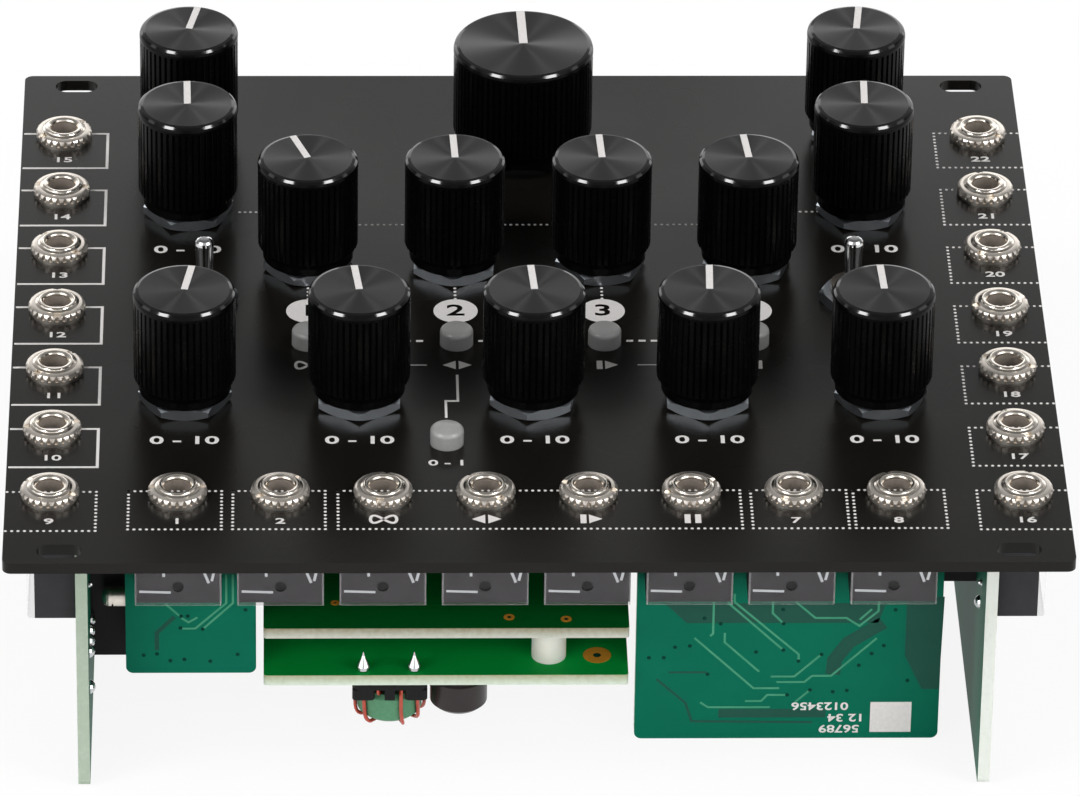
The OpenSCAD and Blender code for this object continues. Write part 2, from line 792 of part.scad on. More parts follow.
module board_headers() {
    header_front_y = front_rear_y + 2 * board_gap + pin_d;
    deck_mid_x = main_left_x + main_board_w / 2;
    deck_y = main_rear_y - deck_header_inset;
    color("#1f1f20") {
        for (side = [0, 1]) mirror([side, 0, 0])
            block(
                [-side_inner_x, header_front_y, control_bottom - corner_header_hs[side]],
                [-side_inner_x + corner_header_w, header_front_y + corner_header_l, control_bottom]
            );
        for (span = [[main_top, control_bottom], [power_top, main_bottom]])
            block(
                [deck_mid_x - deck_header[0] / 2, deck_y - deck_header[1] / 2, span[0]],
                [deck_mid_x + deck_header[0] / 2, deck_y + deck_header[1] / 2, span[1]]
            );
    }
}

// Power parts under the power board.

module power_header() {
    inner = header_size - [2, 2, 1] * header_wall;
    key_w = 4.5;
    color("#202021") at(deck_corner + header_place, power_bottom) difference() {
        translate([-header_size[0] / 2, -header_size[1] / 2, -header_size[2]]) cube(header_size);
        translate([-inner[0] / 2, -inner[1] / 2, -header_size[2] - eps]) cube(inner + [0, 0, eps]);
        translate([-key_w / 2, -header_size[1] / 2 - eps, -header_size[2] - eps])
            cube([key_w, header_wall + 2 * eps, inner[2]]);
    }
}

core_top = power_bottom - base_h;
lead_top = power_bottom - plate_h;
core_r = core_od / 2;
core_hole_r = core_id / 2;

// The base is a plate with two rests for the core and, in front, two corner blocks. The wires come out in
// the slots between the front rest and the corner blocks.
rest_half = 0.7;
rest_l = 2;
lead_out = 1.55;
lead_slot_half = 0.5;
corner_l = 1.2;

module choke_base() {
    half = base_w / 2;
    rest_rear = half - rest_l;
    slot_outer = lead_out + lead_slot_half;
    color("#232324") at(deck_corner + choke_place) {
        translate([0, 0, power_bottom - plate_h]) linear_extrude(plate_h)
            rounded_rect([-half, -half], [half, half], 1);
        block([-rest_half, -half, core_top], [rest_half, -rest_rear, lead_top]);
        block([-rest_half, rest_rear, core_top], [rest_half, half, lead_top]);
        for (s = [0, 1]) mirror([s, 0, 0]) translate([0, 0, core_top]) linear_extrude(lead_top - core_top)
            rounded_rect([slot_outer, -half], [half, corner_l - half], corner_l / 2 - eps);
    }
}

core_bevel = 0.6;

module choke_core() {
    color("#3f7d55") at(deck_corner + choke_place, core_top - core_h) rotate_extrude() polygon([
        [core_hole_r + core_bevel, 0], [core_r - core_bevel, 0], [core_r, core_bevel],
        [core_r, core_h - core_bevel], [core_r - core_bevel, core_h], [core_hole_r + core_bevel, core_h],
        [core_hole_r, core_h - core_bevel], [core_hole_r, core_bevel]
    ]);
}

// Windings: one unbroken wire on each side of the core, looped around the ring's section while it turns
// about the ring. The right wire comes straight down from the base outside the ring and ends straight up
// through the hole. The left wire comes down outside at the rear and ends over the top of the ring, with a
// bend straight up into the front slot.
wire_gap = 0.1;
wire_sides = 6;
loop_rings = 24;
loop_half_w = (core_r - core_hole_r) / 2 + wire_gap + wire_d / 2;
loop_half_h = core_h / 2 + wire_gap + wire_d / 2;
loop_mid_r = (core_r + core_hole_r) / 2;
loop_mid_z = core_top - core_h / 2;
lead_angle = asin(lead_out / (loop_mid_r + loop_half_w));
right_end = wire_loops + 0.5;
left_end = wire_loops + 0.8;
bend_steps = 4;

function square_off(v) = sign(v) * sqrt(abs(v));

function around(r, turn, z) = [r * cos(turn), r * sin(turn), z];

function loop_r(s) = loop_mid_r + loop_half_w * square_off(cos(360 * s));

function loop_z(s) = loop_mid_z - loop_half_h * square_off(sin(360 * s));

function loops(end, start) = [
    for (i = [0:floor(end * loop_rings)])
        let (s = i / loop_rings) around(loop_r(s), start + loop_step * s, loop_z(s))
];

// A straight end from a point up to the base.
function lead(p) = [[p[0], p[1], lead_top - wire_d], [p[0], p[1], lead_top]];

function lead_down(p) = let (up = lead(p)) [up[1], up[0]];

function right_path() =
    let (
        path = loops(right_end, lead_angle - 90),
        end = path[len(path) - 1]
    ) concat(lead_down(path[0]), path, lead(end));

function left_path() =
    let (
        start = 270 - lead_angle - loop_step * left_end,
        path = loops(left_end, start),
        last_s = floor(left_end * loop_rings) / loop_rings,
        turn = start + loop_step * last_s,
        bend_r = lead_top - wire_d - loop_z(last_s),
        bend = [
            for (i = [1:bend_steps])
                let (a = 90 * i / bend_steps)
                    around(loop_r(last_s) + bend_r * sin(a), turn, loop_z(last_s) + bend_r * (1 - cos(a)))
        ]
    ) concat(lead_down(path[0]), path, bend, [lead(bend[bend_steps - 1])[1]]);

function unit(v) = v / norm(v);

function tangent(path, i) = unit(path[min(i + 1, len(path) - 1)] - path[max(i - 1, 0)]);

function wire_ring(path, i) =
    let (
        t = tangent(path, i),
        side = unit([-path[i][1], path[i][0], 0]),
        n = unit(side - (side * t) * t),
        b = cross(t, n)
    ) [
        for (k = [0:wire_sides - 1])
            let (a = 360 * k / wire_sides) path[i] + wire_d / 2 * (cos(a) * n + sin(a) * b)
    ];

// Least gap between stretches of one wire that lie over half a loop apart along it.
function self_gap(path) = min([
    for (i = [0:len(path) - 1], j = [i + loop_rings / 2:1:len(path) - 1]) norm(path[i] - path[j])
]) - wire_d;

module wire(path) {
    n = wire_sides;
    rings = len(path);
    last = (rings - 1) * n;
    points = [for (i = [0:rings - 1]) each wire_ring(path, i)];
    walls = [
        for (i = [0:rings - 2], k = [0:n - 1], half = [0, 1])
            let (a = i * n + k, b = i * n + (k + 1) % n) half == 0 ? [a, a + n, b] : [b, a + n, b + n]
    ];
    first_cap = [for (k = [1:n - 2]) [0, k, k + 1]];
    last_cap = [for (k = [1:n - 2]) [last, last + k + 1, last + k]];
    polyhedron(points, concat(walls, first_cap, last_cap), convexity = 10);
}

module choke_winding() {
    echo(right_wire_gap = self_gap(right_path()), left_wire_gap = self_gap(left_path()));
    color("#b5442c") at(deck_corner + choke_place) {
        wire(right_path());
        wire(left_path());
    }
}

module power_capacitor() {
    r = capacitor_d / 2;
    edge = 0.6;
    groove_h = 1.2;
    bottom = power_bottom - capacitor_h;
    color("#29272a") at(deck_corner + capacitor_place, bottom) rotate_extrude() polygon([
        [0, 0], [r - edge, 0], [r, edge], [r, capacitor_h - groove_h],
        [r - edge / 2, capacitor_h - groove_h + edge / 2], [r, capacitor_h - groove_h + edge],
        [r, capacitor_h], [0, capacitor_h]
    ]);
}

front_panel();
jack_nuts();
jack_sleeves();
jack_housings();
jack_lids();
jack_contacts();
hex_nuts();
pot_bodies();
toggle_bodies();
button_switches();
side_jack_boards();
front_jack_board();
control_board();
main_board();
power_board();
nylon_pillars();
steel_spacers();
board_headers();
power_header();
choke_base();
choke_core();
choke_winding();
power_capacitor();
for (k = knobs) {
    knob(k);
    shaft(k);
}
for (b = buttons) button(b);
for (t = toggles) toggle_lever(t);
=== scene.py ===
# %% [markdown]
# # A rack delay module, dressed for a studio picture
# The solids of the module come from a CAD model and stay exactly where they are. This lesson gives each of
# them the finish it has on the real object, and adds what is too thin for a solid: the white print, the paint
# in the pointers, the copper tracks, the solder joints and the pins.
# Blender counts in metres. The origin is the middle of the panel's rear face, and +Z points out of its front.

import json
import math

import bmesh
import bpy
from mathutils import Matrix, Vector


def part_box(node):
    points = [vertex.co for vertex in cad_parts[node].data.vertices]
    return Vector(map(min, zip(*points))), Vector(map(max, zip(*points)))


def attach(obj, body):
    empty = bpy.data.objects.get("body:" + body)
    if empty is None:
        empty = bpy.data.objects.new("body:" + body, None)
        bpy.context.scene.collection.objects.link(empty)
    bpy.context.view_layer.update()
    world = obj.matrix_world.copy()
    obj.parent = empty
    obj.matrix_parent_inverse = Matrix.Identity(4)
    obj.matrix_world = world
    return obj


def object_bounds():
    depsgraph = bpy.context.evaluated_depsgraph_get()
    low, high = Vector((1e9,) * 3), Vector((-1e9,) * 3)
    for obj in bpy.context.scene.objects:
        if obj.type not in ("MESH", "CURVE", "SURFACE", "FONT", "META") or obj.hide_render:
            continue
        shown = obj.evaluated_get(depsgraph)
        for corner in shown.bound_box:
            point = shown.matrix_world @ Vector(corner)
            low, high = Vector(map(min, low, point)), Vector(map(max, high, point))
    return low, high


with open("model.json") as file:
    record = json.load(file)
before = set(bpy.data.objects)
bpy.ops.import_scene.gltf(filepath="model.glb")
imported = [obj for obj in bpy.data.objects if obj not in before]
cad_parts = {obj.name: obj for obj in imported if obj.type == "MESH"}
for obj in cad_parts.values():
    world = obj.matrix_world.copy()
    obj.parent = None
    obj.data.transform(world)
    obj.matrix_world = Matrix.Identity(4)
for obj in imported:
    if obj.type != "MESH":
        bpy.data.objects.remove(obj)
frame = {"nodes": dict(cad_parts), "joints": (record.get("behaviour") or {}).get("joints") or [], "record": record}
solid_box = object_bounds()
MM = 0.001
scene = bpy.context.scene
print("solids:", len(frame["nodes"]), "box in mm:", [[round(v / MM, 1) for v in corner] for corner in solid_box])

# %% [markdown]
# ## Camera
# The picture was taken from in front and above with a long lens, so the panel's sides hardly converge. A
# constraint could aim the camera at the panel, but a matrix built from three angles also holds the slight roll
# of a hand-set tripod and gives the same frame on every run.

# %% Camera
camera_place_mm = Vector((-32.854, -1065.457, 653.106))
azimuth, elevation, roll = (math.radians(a) for a in (-1.858, 31.997, 0.904))
lens_mm, sensor_mm, far_m = 301.905, 36.0, 20.0

level = Vector((math.cos(azimuth), math.sin(azimuth), 0))
backward = Vector((level.y, -level.x, 0)) * math.cos(elevation) + Vector((0, 0, math.sin(elevation)))
rightward = level * math.cos(roll) + backward.cross(level) * math.sin(roll)
axes = Matrix((rightward, backward.cross(rightward), backward)).transposed()
lens = bpy.data.cameras.new("long_lens")
lens.lens, lens.sensor_width, lens.clip_end = lens_mm, sensor_mm, far_m
camera = bpy.data.objects.new("camera", lens)
camera.matrix_world = Matrix.Translation(camera_place_mm * MM) @ axes.to_4x4()
scene.collection.objects.link(camera)
scene.camera = camera
print("camera", round(camera_place_mm.length), "mm away, lens", lens_mm, "mm")

# %% [markdown]
# ## Colours, nodes and materials
# Colours are written as the hex values a picture editor shows. Shaders work in linear light, so one function
# converts them. A second one adds any node, with its settings, what feeds it and where it leads. A third
# starts a material: constant values go straight on the shader's sockets, where an exporter finds them.

# %% Helpers for materials
COLOUR_MIX = {"data_type": "RGBA"}


def linear(hex_colour):
    """The linear RGBA of an sRGB hex colour."""
    parts = [int(hex_colour[i:i + 2], 16) / 255 for i in (1, 3, 5)]
    return tuple(p / 12.92 if p <= 0.04045 else ((p + 0.055) / 1.055) ** 2.4 for p in parts) + (1.0,)


def add(tree, kind, settings=None, feeds=None, into=None, out=None):
    """Adds one node: its settings, its inputs as values or sockets, where it leads, and which output is wanted."""
    node = tree.nodes.new(kind)
    for name, value in (settings or {}).items():
        setattr(node, name, value)
    for name, value in (feeds or {}).items():
        if isinstance(value, bpy.types.NodeSocket):
            tree.links.new(value, node.inputs[name])
        else:
            node.inputs[name].default_value = value
    output = node.outputs[out] if out else next(socket for socket in node.outputs if socket.enabled)
    if into:
        tree.links.new(output, into)
    return output


def begin(name, colour, **values):
    """Starts a material. Gives it, its node tree, its shader's sockets and the place in the part's own frame."""
    material = bpy.data.materials.new(name)
    material.use_nodes = True
    material.diffuse_color = linear(colour)
    tree = material.node_tree
    sockets = tree.nodes["Principled BSDF"].inputs
    sockets["Base Color"].default_value = linear(colour)
    for key, value in values.items():
        sockets[key.replace("_", " ")].default_value = value
    return material, tree, sockets, add(tree, "ShaderNodeTexCoord", out="Object")


def per_mm(size_mm):
    """Texture scale at which one feature is that many millimetres wide."""
    return 1 / (size_mm * MM)


def dress(nodes, *materials):
    """Gives CAD nodes their materials. Every face takes the first one."""
    for name in nodes:
        mesh = frame["nodes"][name].data
        mesh.materials.clear()
        for material in materials:
            mesh.materials.append(material)


def named(*starts):
    """The CAD nodes whose names start with one of the words."""
    return [name for name in frame["nodes"] if name.startswith(starts)]


print("helpers ready for", len(frame["nodes"]), "solids")

# %% [markdown]
# ## Panel
# The panel is sheet aluminium, brushed flat, bead-blasted and anodised black. The dye takes nearly all the
# light, and what is seen is the shine of the hard oxide: satin, so a nut is mirrored just below itself and
# then fades. Real grit is finer than a tenth of a millimetre; it is drawn at a third so that it can show.

# %% Panel finish
grit_mm, cloud_mm, grit_deep_mm = 0.3, 14.0, 0.002
# Dyed oxide: almost black and warm, with a soft shine that the grit breaks up.
panel_black, tree, sockets, place = begin(
    "anodised_aluminium_black", "#100f0d", Roughness=0.26, Specular_IOR_Level=0.2)
cloud = add(tree, "ShaderNodeTexNoise", None, {"Vector": place, "Scale": per_mm(cloud_mm), "Detail": 2.0})
grit = add(tree, "ShaderNodeTexNoise", None, {"Vector": place, "Scale": per_mm(grit_mm), "Detail": 1.0})
shades = {"Factor": cloud, "A": linear("#0d0c0a"), "B": linear("#14120f")}
add(tree, "ShaderNodeMix", COLOUR_MIX, shades, sockets["Base Color"])
add(tree, "ShaderNodeMapRange", None, {"Value": cloud, "To Min": 0.24, "To Max": 0.3}, sockets["Roughness"])
dents = {"Height": grit, "Distance": grit_deep_mm * MM, "Strength": 0.3}
add(tree, "ShaderNodeBump", None, dents, sockets["Normal"])
dress(["front_panel"], panel_black)
print("panel finish: grit", grit_mm, "mm, clouds", cloud_mm, "mm")

# %% [markdown]
# ## Finishes that drift
# No real surface has one colour all over. The panel took a noise, a mix of two colours and a range for its
# roughness, and most finishes below need the same. So one function takes that up: it gets the two colours, the
# size of the blotches in millimetres and, where the finish has them, two roughnesses or the depth of its dents.

# %% A helper for finishes that drift
def mottled(name, colour, between, size_mm, detail=2.0, rough_between=None, dents=None, **values):
    """Starts a material that drifts between two colours and, if given, two roughnesses or dents (mm, strength)."""
    material, tree, sockets, place = begin(name, colour, **values)
    drift = add(tree, "ShaderNodeTexNoise", None, {"Vector": place, "Scale": per_mm(size_mm), "Detail": detail})
    shades = {"Factor": drift, "A": linear(between[0]), "B": linear(between[1])}
    add(tree, "ShaderNodeMix", COLOUR_MIX, shades, sockets["Base Color"])
    if rough_between:
        ends = {"Value": drift, "To Min": rough_between[0], "To Max": rough_between[1]}
        add(tree, "ShaderNodeMapRange", None, ends, sockets["Roughness"])
    if dents:
        relief = {"Height": drift, "Distance": dents[0] * MM, "Strength": dents[1]}
        add(tree, "ShaderNodeBump", None, relief, sockets["Normal"])
    return material


print("one call now makes a finish that drifts")

# %% [markdown]
# ## Knobs
# Each knob is turned from aluminium rod, fluted and anodised black. The lathe leaves rings on the top that are
# too fine to see one by one, but together they smear every reflection into opposite fans of light. Rings in the
# mesh would cost many faces; the shader's anisotropy, with a tangent around the axis, does the same. The
# highlight stretches along the tangent, so a quarter turn sends it across the rings, as on a real lathe face.
# The rounded rim was polished before the dye and mirrors each lamp as a short dash; the flutes stay as milled.

# %% Knob finishes
wear_mm = 1.2
# Turned top: dark grey, with fans of light to the left and the right.
knob_top, tree, sockets, place = begin(
    "anodised_aluminium_turned", "#0f0f0f", Roughness=0.33, Specular_IOR_Level=0.45, Anisotropic=1.0,
    Anisotropic_Rotation=0.25)
add(tree, "ShaderNodeTangent", {"direction_type": "RADIAL", "axis": "Z"}, None, sockets["Tangent"])
wear = add(tree, "ShaderNodeTexNoise", None, {"Vector": place, "Scale": per_mm(wear_mm), "Detail": 2.0})
shades = {"Factor": wear, "A": linear("#0c0c0c"), "B": linear("#121211")}
add(tree, "ShaderNodeMix", COLOUR_MIX, shades, sockets["Base Color"])

# Milled flutes: deep black, with only a trace of shine on each ridge.
knob_side = mottled(
    "anodised_aluminium_fluted", "#030303", ("#020202", "#050505"), wear_mm, rough_between=(0.22, 0.31),
    Roughness=0.26, Specular_IOR_Level=0.09)

# Polished rim: black glass to the eye, so the two lamps show as white dashes.
knob_rim = mottled(
    "anodised_aluminium_rounded", "#050505", ("#030303", "#080808"), wear_mm, rough_between=(0.08, 0.13),
    Roughness=0.1, Specular_IOR_Level=0.5)

upward, sloping = 0.99, 0.4
dress(named("knob_"), knob_side, knob_rim, knob_top)
for name in named("knob_"):
    for face in frame["nodes"][name].data.polygons:
        face.material_index = (face.normal.z > sloping) + (face.normal.z > upward)
print("knobs:", len(named("knob_")))

# %% [markdown]
# ## Nickel and chrome
# The jack sleeves and their notched nuts are turned brass under bright nickel, a little warmer and darker than
# the chrome on the toggle levers. Both are good mirrors, so most of what is seen on them is the room. The nuts
# were tumbled with the plating on, which softens them; the steel spacers have the same soft nickel.

# %% Nickel and chrome finishes
haze_mm, polish_mm = 0.8, 1.5
# Bright nickel: a warm mirror, faintly hazed by the turning marks under it.
nickel = mottled(
    "nickel_plate", "#ebe3d8", ("#e6ddd1", "#f0e9df"), haze_mm, rough_between=(0.17, 0.23), Metallic=1.0,
    Roughness=0.2)

# Tumbled nickel: the same colour, but every highlight spreads.
nickel_satin = mottled(
    "nickel_plate_satin", "#ebe3d9", ("#e6ddd2", "#f0e9e0"), haze_mm, rough_between=(0.3, 0.36), Metallic=1.0,
    Roughness=0.33)
dress(["jack_nuts", "steel_spacers"], nickel_satin)

# Polished chrome: a cool and sharp mirror.
chrome, tree, sockets, place = begin("chrome_plate", "#d6d6d7", Metallic=1.0, Roughness=0.1)
haze = add(tree, "ShaderNodeTexNoise", None, {"Vector": place, "Scale": per_mm(polish_mm), "Detail": 1.0})
add(tree, "ShaderNodeMapRange", None, {"Value": haze, "To Min": 0.08, "To Max": 0.14}, sockets["Roughness"])
dress(named("toggle_lever"), chrome)
print("nickel haze", haze_mm, "mm, chrome haze", polish_mm, "mm")

# %% [markdown]
# Inside the bores the nickel is duller, and a darker, browner grey: painted shade for the dark bore that the
# walls mirror. A sleeve is one solid, so its faces are sorted: what stands upright close to a jack's axis gets
# the dull, shaded nickel.

# %% Dull bores
# Painted shade in the bores: a dull, brownish grey nickel, with hardly a mirror left.
bore_nickel_shade = mottled(
    "nickel_bore_painted_shade", "#a89e94", ("#9c9288", "#b4aaa0"), haze_mm, Metallic=0.6, Roughness=0.5)

mounts = frame["record"]["mounts"]
jacks = {m["name"]: Vector(m["pos_m"][:2]) / MM for m in mounts if m["name"].startswith("jack_")}
bore_mm, steep = 1.85, 0.05
dress(["jack_sleeves"], nickel, bore_nickel_shade)
bore_faces = 0
for face in frame["nodes"]["jack_sleeves"].data.polygons:
    off_axis = min((face.center.xy / MM - spot_mm).length for spot_mm in jacks.values())
    face.material_index = int(off_axis < bore_mm and abs(face.normal.z) < steep)
    bore_faces += face.material_index
print("jacks:", len(jacks), "faces in their bores:", bore_faces)

# %% [markdown]
# ## Steel
# The shafts and springs are steel under bright zinc, cooler in colour than nickel and softer in their shine.
# The hex nuts were dipped once more in a blue passivation, which leaves a trace of blue.

# %% Steel finishes
spangle_mm = 1.6
# Bright zinc: cool grey, with soft highlights.
zinc = mottled(
    "zinc_plated_steel", "#c8cacd", ("#c2c4c7", "#cfd1d4"), spangle_mm, detail=1.0, rough_between=(0.37, 0.43),
    Metallic=1.0, Roughness=0.4)
dress(["jack_contacts"] + named("shaft_"), zinc)

# Blue passivation: a shade bluer and a little sharper.
nut_steel = mottled(
    "zinc_blue_passivated", "#c9cfd5", ("#c2c8cf", "#d0d6dc"), spangle_mm, detail=1.0,
    rough_between=(0.26, 0.34), Metallic=1.0, Roughness=0.3)
dress(["hex_nuts"], nut_steel)
print("zinc spangle", spangle_mm, "mm")

# %% [markdown]
# ## Pots
# A pot is a steel can, folded over a brown base of pressed phenolic paper. Can and base are one solid, and a
# second material slot would need faces that end at the fold. The height on the object tells them apart instead.

# %% Pots
pot_base_mm, flake_mm = 2.4, 1.0
base_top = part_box("pot_bodies")[0].z + pot_base_mm * MM
# Steel above, even and grey; phenolic below, brown and flaky.
pot_can, tree, sockets, place = begin("zinc_plated_steel_on_phenolic", "#b5b4b1", Metallic=1.0, Roughness=0.3)
spread = add(tree, "ShaderNodeTexNoise", None, {"Vector": place, "Scale": per_mm(flake_mm), "Detail": 2.0})
height = add(tree, "ShaderNodeSeparateXYZ", None, {"Vector": place}, out="Z")
metal = add(tree, "ShaderNodeMath", {"operation": "GREATER_THAN"}, {0: height, 1: base_top})
shades = {"Factor": spread, "A": linear("#4a2f1d"), "B": linear("#5c3d28")}
phenolic = add(tree, "ShaderNodeMix", COLOUR_MIX, shades)
shades = {"Factor": metal, "A": phenolic, "B": linear("#b5b4b1")}
add(tree, "ShaderNodeMix", COLOUR_MIX, shades, sockets["Base Color"])
tree.links.new(metal, sockets["Metallic"])
add(tree, "ShaderNodeMapRange", None, {"Value": spread, "To Min": 0.26, "To Max": 0.4}, sockets["Roughness"])
dress(["pot_bodies"], pot_can)
print("phenolic up to z", round(base_top / MM, 2), "mm")

# %% [markdown]
# ## Toggles
# A toggle is a black moulded body with a threaded nickel bushing on it. The thread has a pitch of half a
# millimetre. Cut into the mesh it would be many thin faces, so bands of bump along Z stand for it.

# %% Toggle bodies
thread_mm, thread_deep_mm, wave_bands = 0.5, 0.1, 20
# Nickel above the panel's rear face, ringed by the thread; black nylon below it.
toggle_shell, tree, sockets, place = begin("nickel_bushing_on_nylon", "#b9b0a6", Metallic=1.0, Roughness=0.24)
height = add(tree, "ShaderNodeSeparateXYZ", None, {"Vector": place}, out="Z")
metal = add(tree, "ShaderNodeMath", {"operation": "GREATER_THAN"}, {0: height, 1: 0.0})
shades = {"Factor": metal, "A": linear("#161617"), "B": linear("#b9b0a6")}
add(tree, "ShaderNodeMix", COLOUR_MIX, shades, sockets["Base Color"])
tree.links.new(metal, sockets["Metallic"])
wave = {"Vector": place, "Scale": per_mm(thread_mm) / wave_bands}
thread = add(tree, "ShaderNodeTexWave", {"bands_direction": "Z"}, wave)
ridges = {"Height": thread, "Distance": thread_deep_mm * MM, "Strength": 0.6}
add(tree, "ShaderNodeBump", None, ridges, sockets["Normal"])
dress(["toggle_bodies"], toggle_shell)
print("thread pitch", thread_mm, "mm")

# %% [markdown]
# ## Soft grey and dull black plastic
# The button caps are grey ABS from a mould with a fine spark-eroded texture, which spreads light evenly. The
# real texture is finer than a tenth of a millimetre and is drawn at a quarter. Headers, switches and the
# choke's base are black nylon with glass in it, which is duller and faintly blotched.

# %% Grey and black plastic
eroded_mm, eroded_deep_mm, blotch_mm, blotch_deep_mm = 0.25, 0.006, 0.6, 0.015
# Spark-eroded ABS: an even, soft grey.
button_grey = mottled(
    "abs_soft_grey", "#8c8c8b", ("#858584", "#939392"), eroded_mm, dents=(eroded_deep_mm, 0.3), Roughness=0.32,
    Specular_IOR_Level=0.45)
caps = [name for name in named("button_") if name != "button_switches"]
dress(caps, button_grey)

# Glass-filled nylon: dull black, with the glass as faint blotches.
moulded_black = mottled(
    "glass_filled_nylon_black", "#0c0b0b", ("#090808", "#110f0f"), blotch_mm, detail=3.0,
    dents=(blotch_deep_mm, 0.3), Roughness=0.5, Specular_IOR_Level=0.2)
dress(["button_switches", "board_headers", "power_header", "choke_base"], moulded_black)
print("button caps:", len(caps), "texture", eroded_mm, "mm")

# %% [markdown]
# ## Jack housings
# A jack's housing is moulded polyester, dark grey outside. The face under the lid and the one opposite it take
# a lighter grey, and the faces in the hole for the plug's tip take black nylon: painted shade for the dark hole.
# Three materials share one solid, and the way a face looks and its place beside the nearest jack's axis tell
# which one it gets.

# %% Jack housings
flow_mm, grey_mottle_mm = 1.2, 2.0
# Moulded polyester: dark grey with flow marks.
moulded_dark = mottled(
    "polyester_dark_grey", "#232225", ("#1e1d20", "#29282b"), flow_mm, detail=3.0, Roughness=0.5,
    Specular_IOR_Level=0.25)

# The same polyester on the face under the lid and the one opposite it: a mid grey.
moulded_grey = mottled(
    "polyester_grey", "#3b393b", ("#353335", "#424042"), grey_mottle_mm, Roughness=0.5, Specular_IOR_Level=0.25)

dress(["jack_housings"], moulded_dark, moulded_grey, moulded_black)
hole_z_mm, hole_reach, facing_out = -11.6, 0.85, 0.9
shaded_hole_faces = 0
for face in frame["nodes"]["jack_housings"].data.polygons:
    at = face.center / MM
    name, spot_mm = min(jacks.items(), key=lambda jack: (jack[1] - at.xy).length)
    across, out = (0, 1) if name.startswith("jack_row") else (1, 0)
    in_shaded_hole = math.hypot(at[across] - spot_mm[across], at.z - hole_z_mm) < hole_reach
    # Faces in the tip hole take the black nylon: painted shade for the deep hole.
    face.material_index = 2 if in_shaded_hole else int(abs(face.normal[out]) > facing_out)
    shaded_hole_faces += in_shaded_hole
print("housings dressed, faces in their holes:", shaded_hole_faces)

# %% [markdown]
# ## Clear lids and white pillars
# Each jack is closed by a lid of clear styrene, thin and a little smoky. Its edges are painted pale: a painted
# highlight for the light that the lid leads to them. It could be glass with refraction, but behind a flat lid
# that only costs time and noise: letting most of the light straight through shows the springs just as well.
# The pillars are natural nylon, and light sinks a little into them.

# %% Clear and white plastic
lid_share, edge_share, edge_slope = 0.015, 0.3, 0.95
scuff_mm, edge_mottle_mm, streak_mm = 2.5, 1.2, 1.5
# Clear styrene: almost nothing but a faint shine, with scuffs in it.
clear_lid = mottled(
    "styrene_clear", "#c0bfc0", ("#b4b3b4", "#cccbcc"), scuff_mm, detail=3.0, rough_between=(0.08, 0.22),
    Roughness=0.14, Alpha=lid_share, Specular_IOR_Level=0.12)

# Painted highlight on its cut edges: pale, for the light that the lid leads there.
lid_edge_highlight = mottled(
    "styrene_edge_painted_highlight", "#d0d0d0", ("#c4c4c4", "#dadada"), edge_mottle_mm, Roughness=0.2, Alpha=edge_share)
dress(["jack_lids"], clear_lid, lid_edge_highlight)
# Faces that tilt up or down, the lid's top and bottom edges, take the painted highlight.
for face in frame["nodes"]["jack_lids"].data.polygons:
    face.material_index = int(max(abs(face.normal.x), abs(face.normal.y)) < edge_slope)

# Natural nylon: waxy white, softly lit from inside.
nylon_white = mottled(
    "nylon_natural", "#d5d2c9", ("#cecbc2", "#dcd9d0"), streak_mm, Roughness=0.45, Subsurface_Weight=0.2,
    Subsurface_Scale=0.002)
dress(["nylon_pillars"], nylon_white)
print("lids let", 1 - lid_share, "of the light through")

# %% [markdown]
# ## Circuit boards
# A board is glass cloth in epoxy under a thin green lacquer. Its faces are green and a little cloudy; its cut
# edges are bare, the colour of pale straw, and change from one face to the other. One material does both: the
# direction a face looks in tells a face from an edge. Standing boards look along X or Y and lying ones along Z,
# so one function makes all five. Glass threads are about 0.4 mm wide; they are drawn at 0.7 mm so that they show.

# %% Boards with bare edges
thread_w_mm, stain_mm, thread_rise_mm, face_slope = 0.7, 9.0, 0.01, 0.7


def board(name, node, axis, gloss, dark, light, edge_low, edge_high):
    """Board material: lacquered faces look along an axis, bare edges change colour from one face to the other."""
    material, tree, sockets, place = begin(name, light, Roughness=0.5, Specular_IOR_Level=gloss)
    cloud = add(tree, "ShaderNodeTexNoise", None, {"Vector": place, "Scale": per_mm(stain_mm), "Detail": 2.0})
    fibre = add(tree, "ShaderNodeTexNoise", None, {"Vector": place, "Scale": per_mm(thread_w_mm), "Detail": 2.0})
    outward = add(tree, "ShaderNodeNewGeometry", out="True Normal")
    along = add(tree, "ShaderNodeSeparateXYZ", None, {"Vector": outward}, out=axis)
    size = add(tree, "ShaderNodeMath", {"operation": "ABSOLUTE"}, {0: along})
    face = add(tree, "ShaderNodeMath", {"operation": "GREATER_THAN"}, {0: size, 1: face_slope})
    shades = {"Factor": cloud, "A": linear(dark), "B": linear(light)}
    lacquer = add(tree, "ShaderNodeMix", COLOUR_MIX, shades)
    depth = add(tree, "ShaderNodeSeparateXYZ", None, {"Vector": place}, out=axis)
    low, high = (corner["XYZ".index(axis)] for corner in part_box(node))
    depth = add(tree, "ShaderNodeMapRange", None, {"Value": depth, "From Min": low, "From Max": high})
    ragged = add(tree, "ShaderNodeMapRange", None, {"Value": fibre, "To Min": -0.25, "To Max": 0.25})
    depth = add(tree, "ShaderNodeMath", {"operation": "ADD", "use_clamp": True}, {0: depth, 1: ragged})
    shades = {"Factor": depth, "A": linear(edge_low), "B": linear(edge_high)}
    straw = add(tree, "ShaderNodeMix", COLOUR_MIX, shades)
    add(tree, "ShaderNodeMix", COLOUR_MIX, {"Factor": face, "A": straw, "B": lacquer}, sockets["Base Color"])
    add(tree, "ShaderNodeMapRange", None, {"Value": face, "To Min": 0.7, "To Max": 0.5}, sockets["Roughness"])
    ripple = {"Height": fibre, "Distance": thread_rise_mm * MM, "Strength": 0.2}
    add(tree, "ShaderNodeBump", None, ripple, sockets["Normal"])
    return material


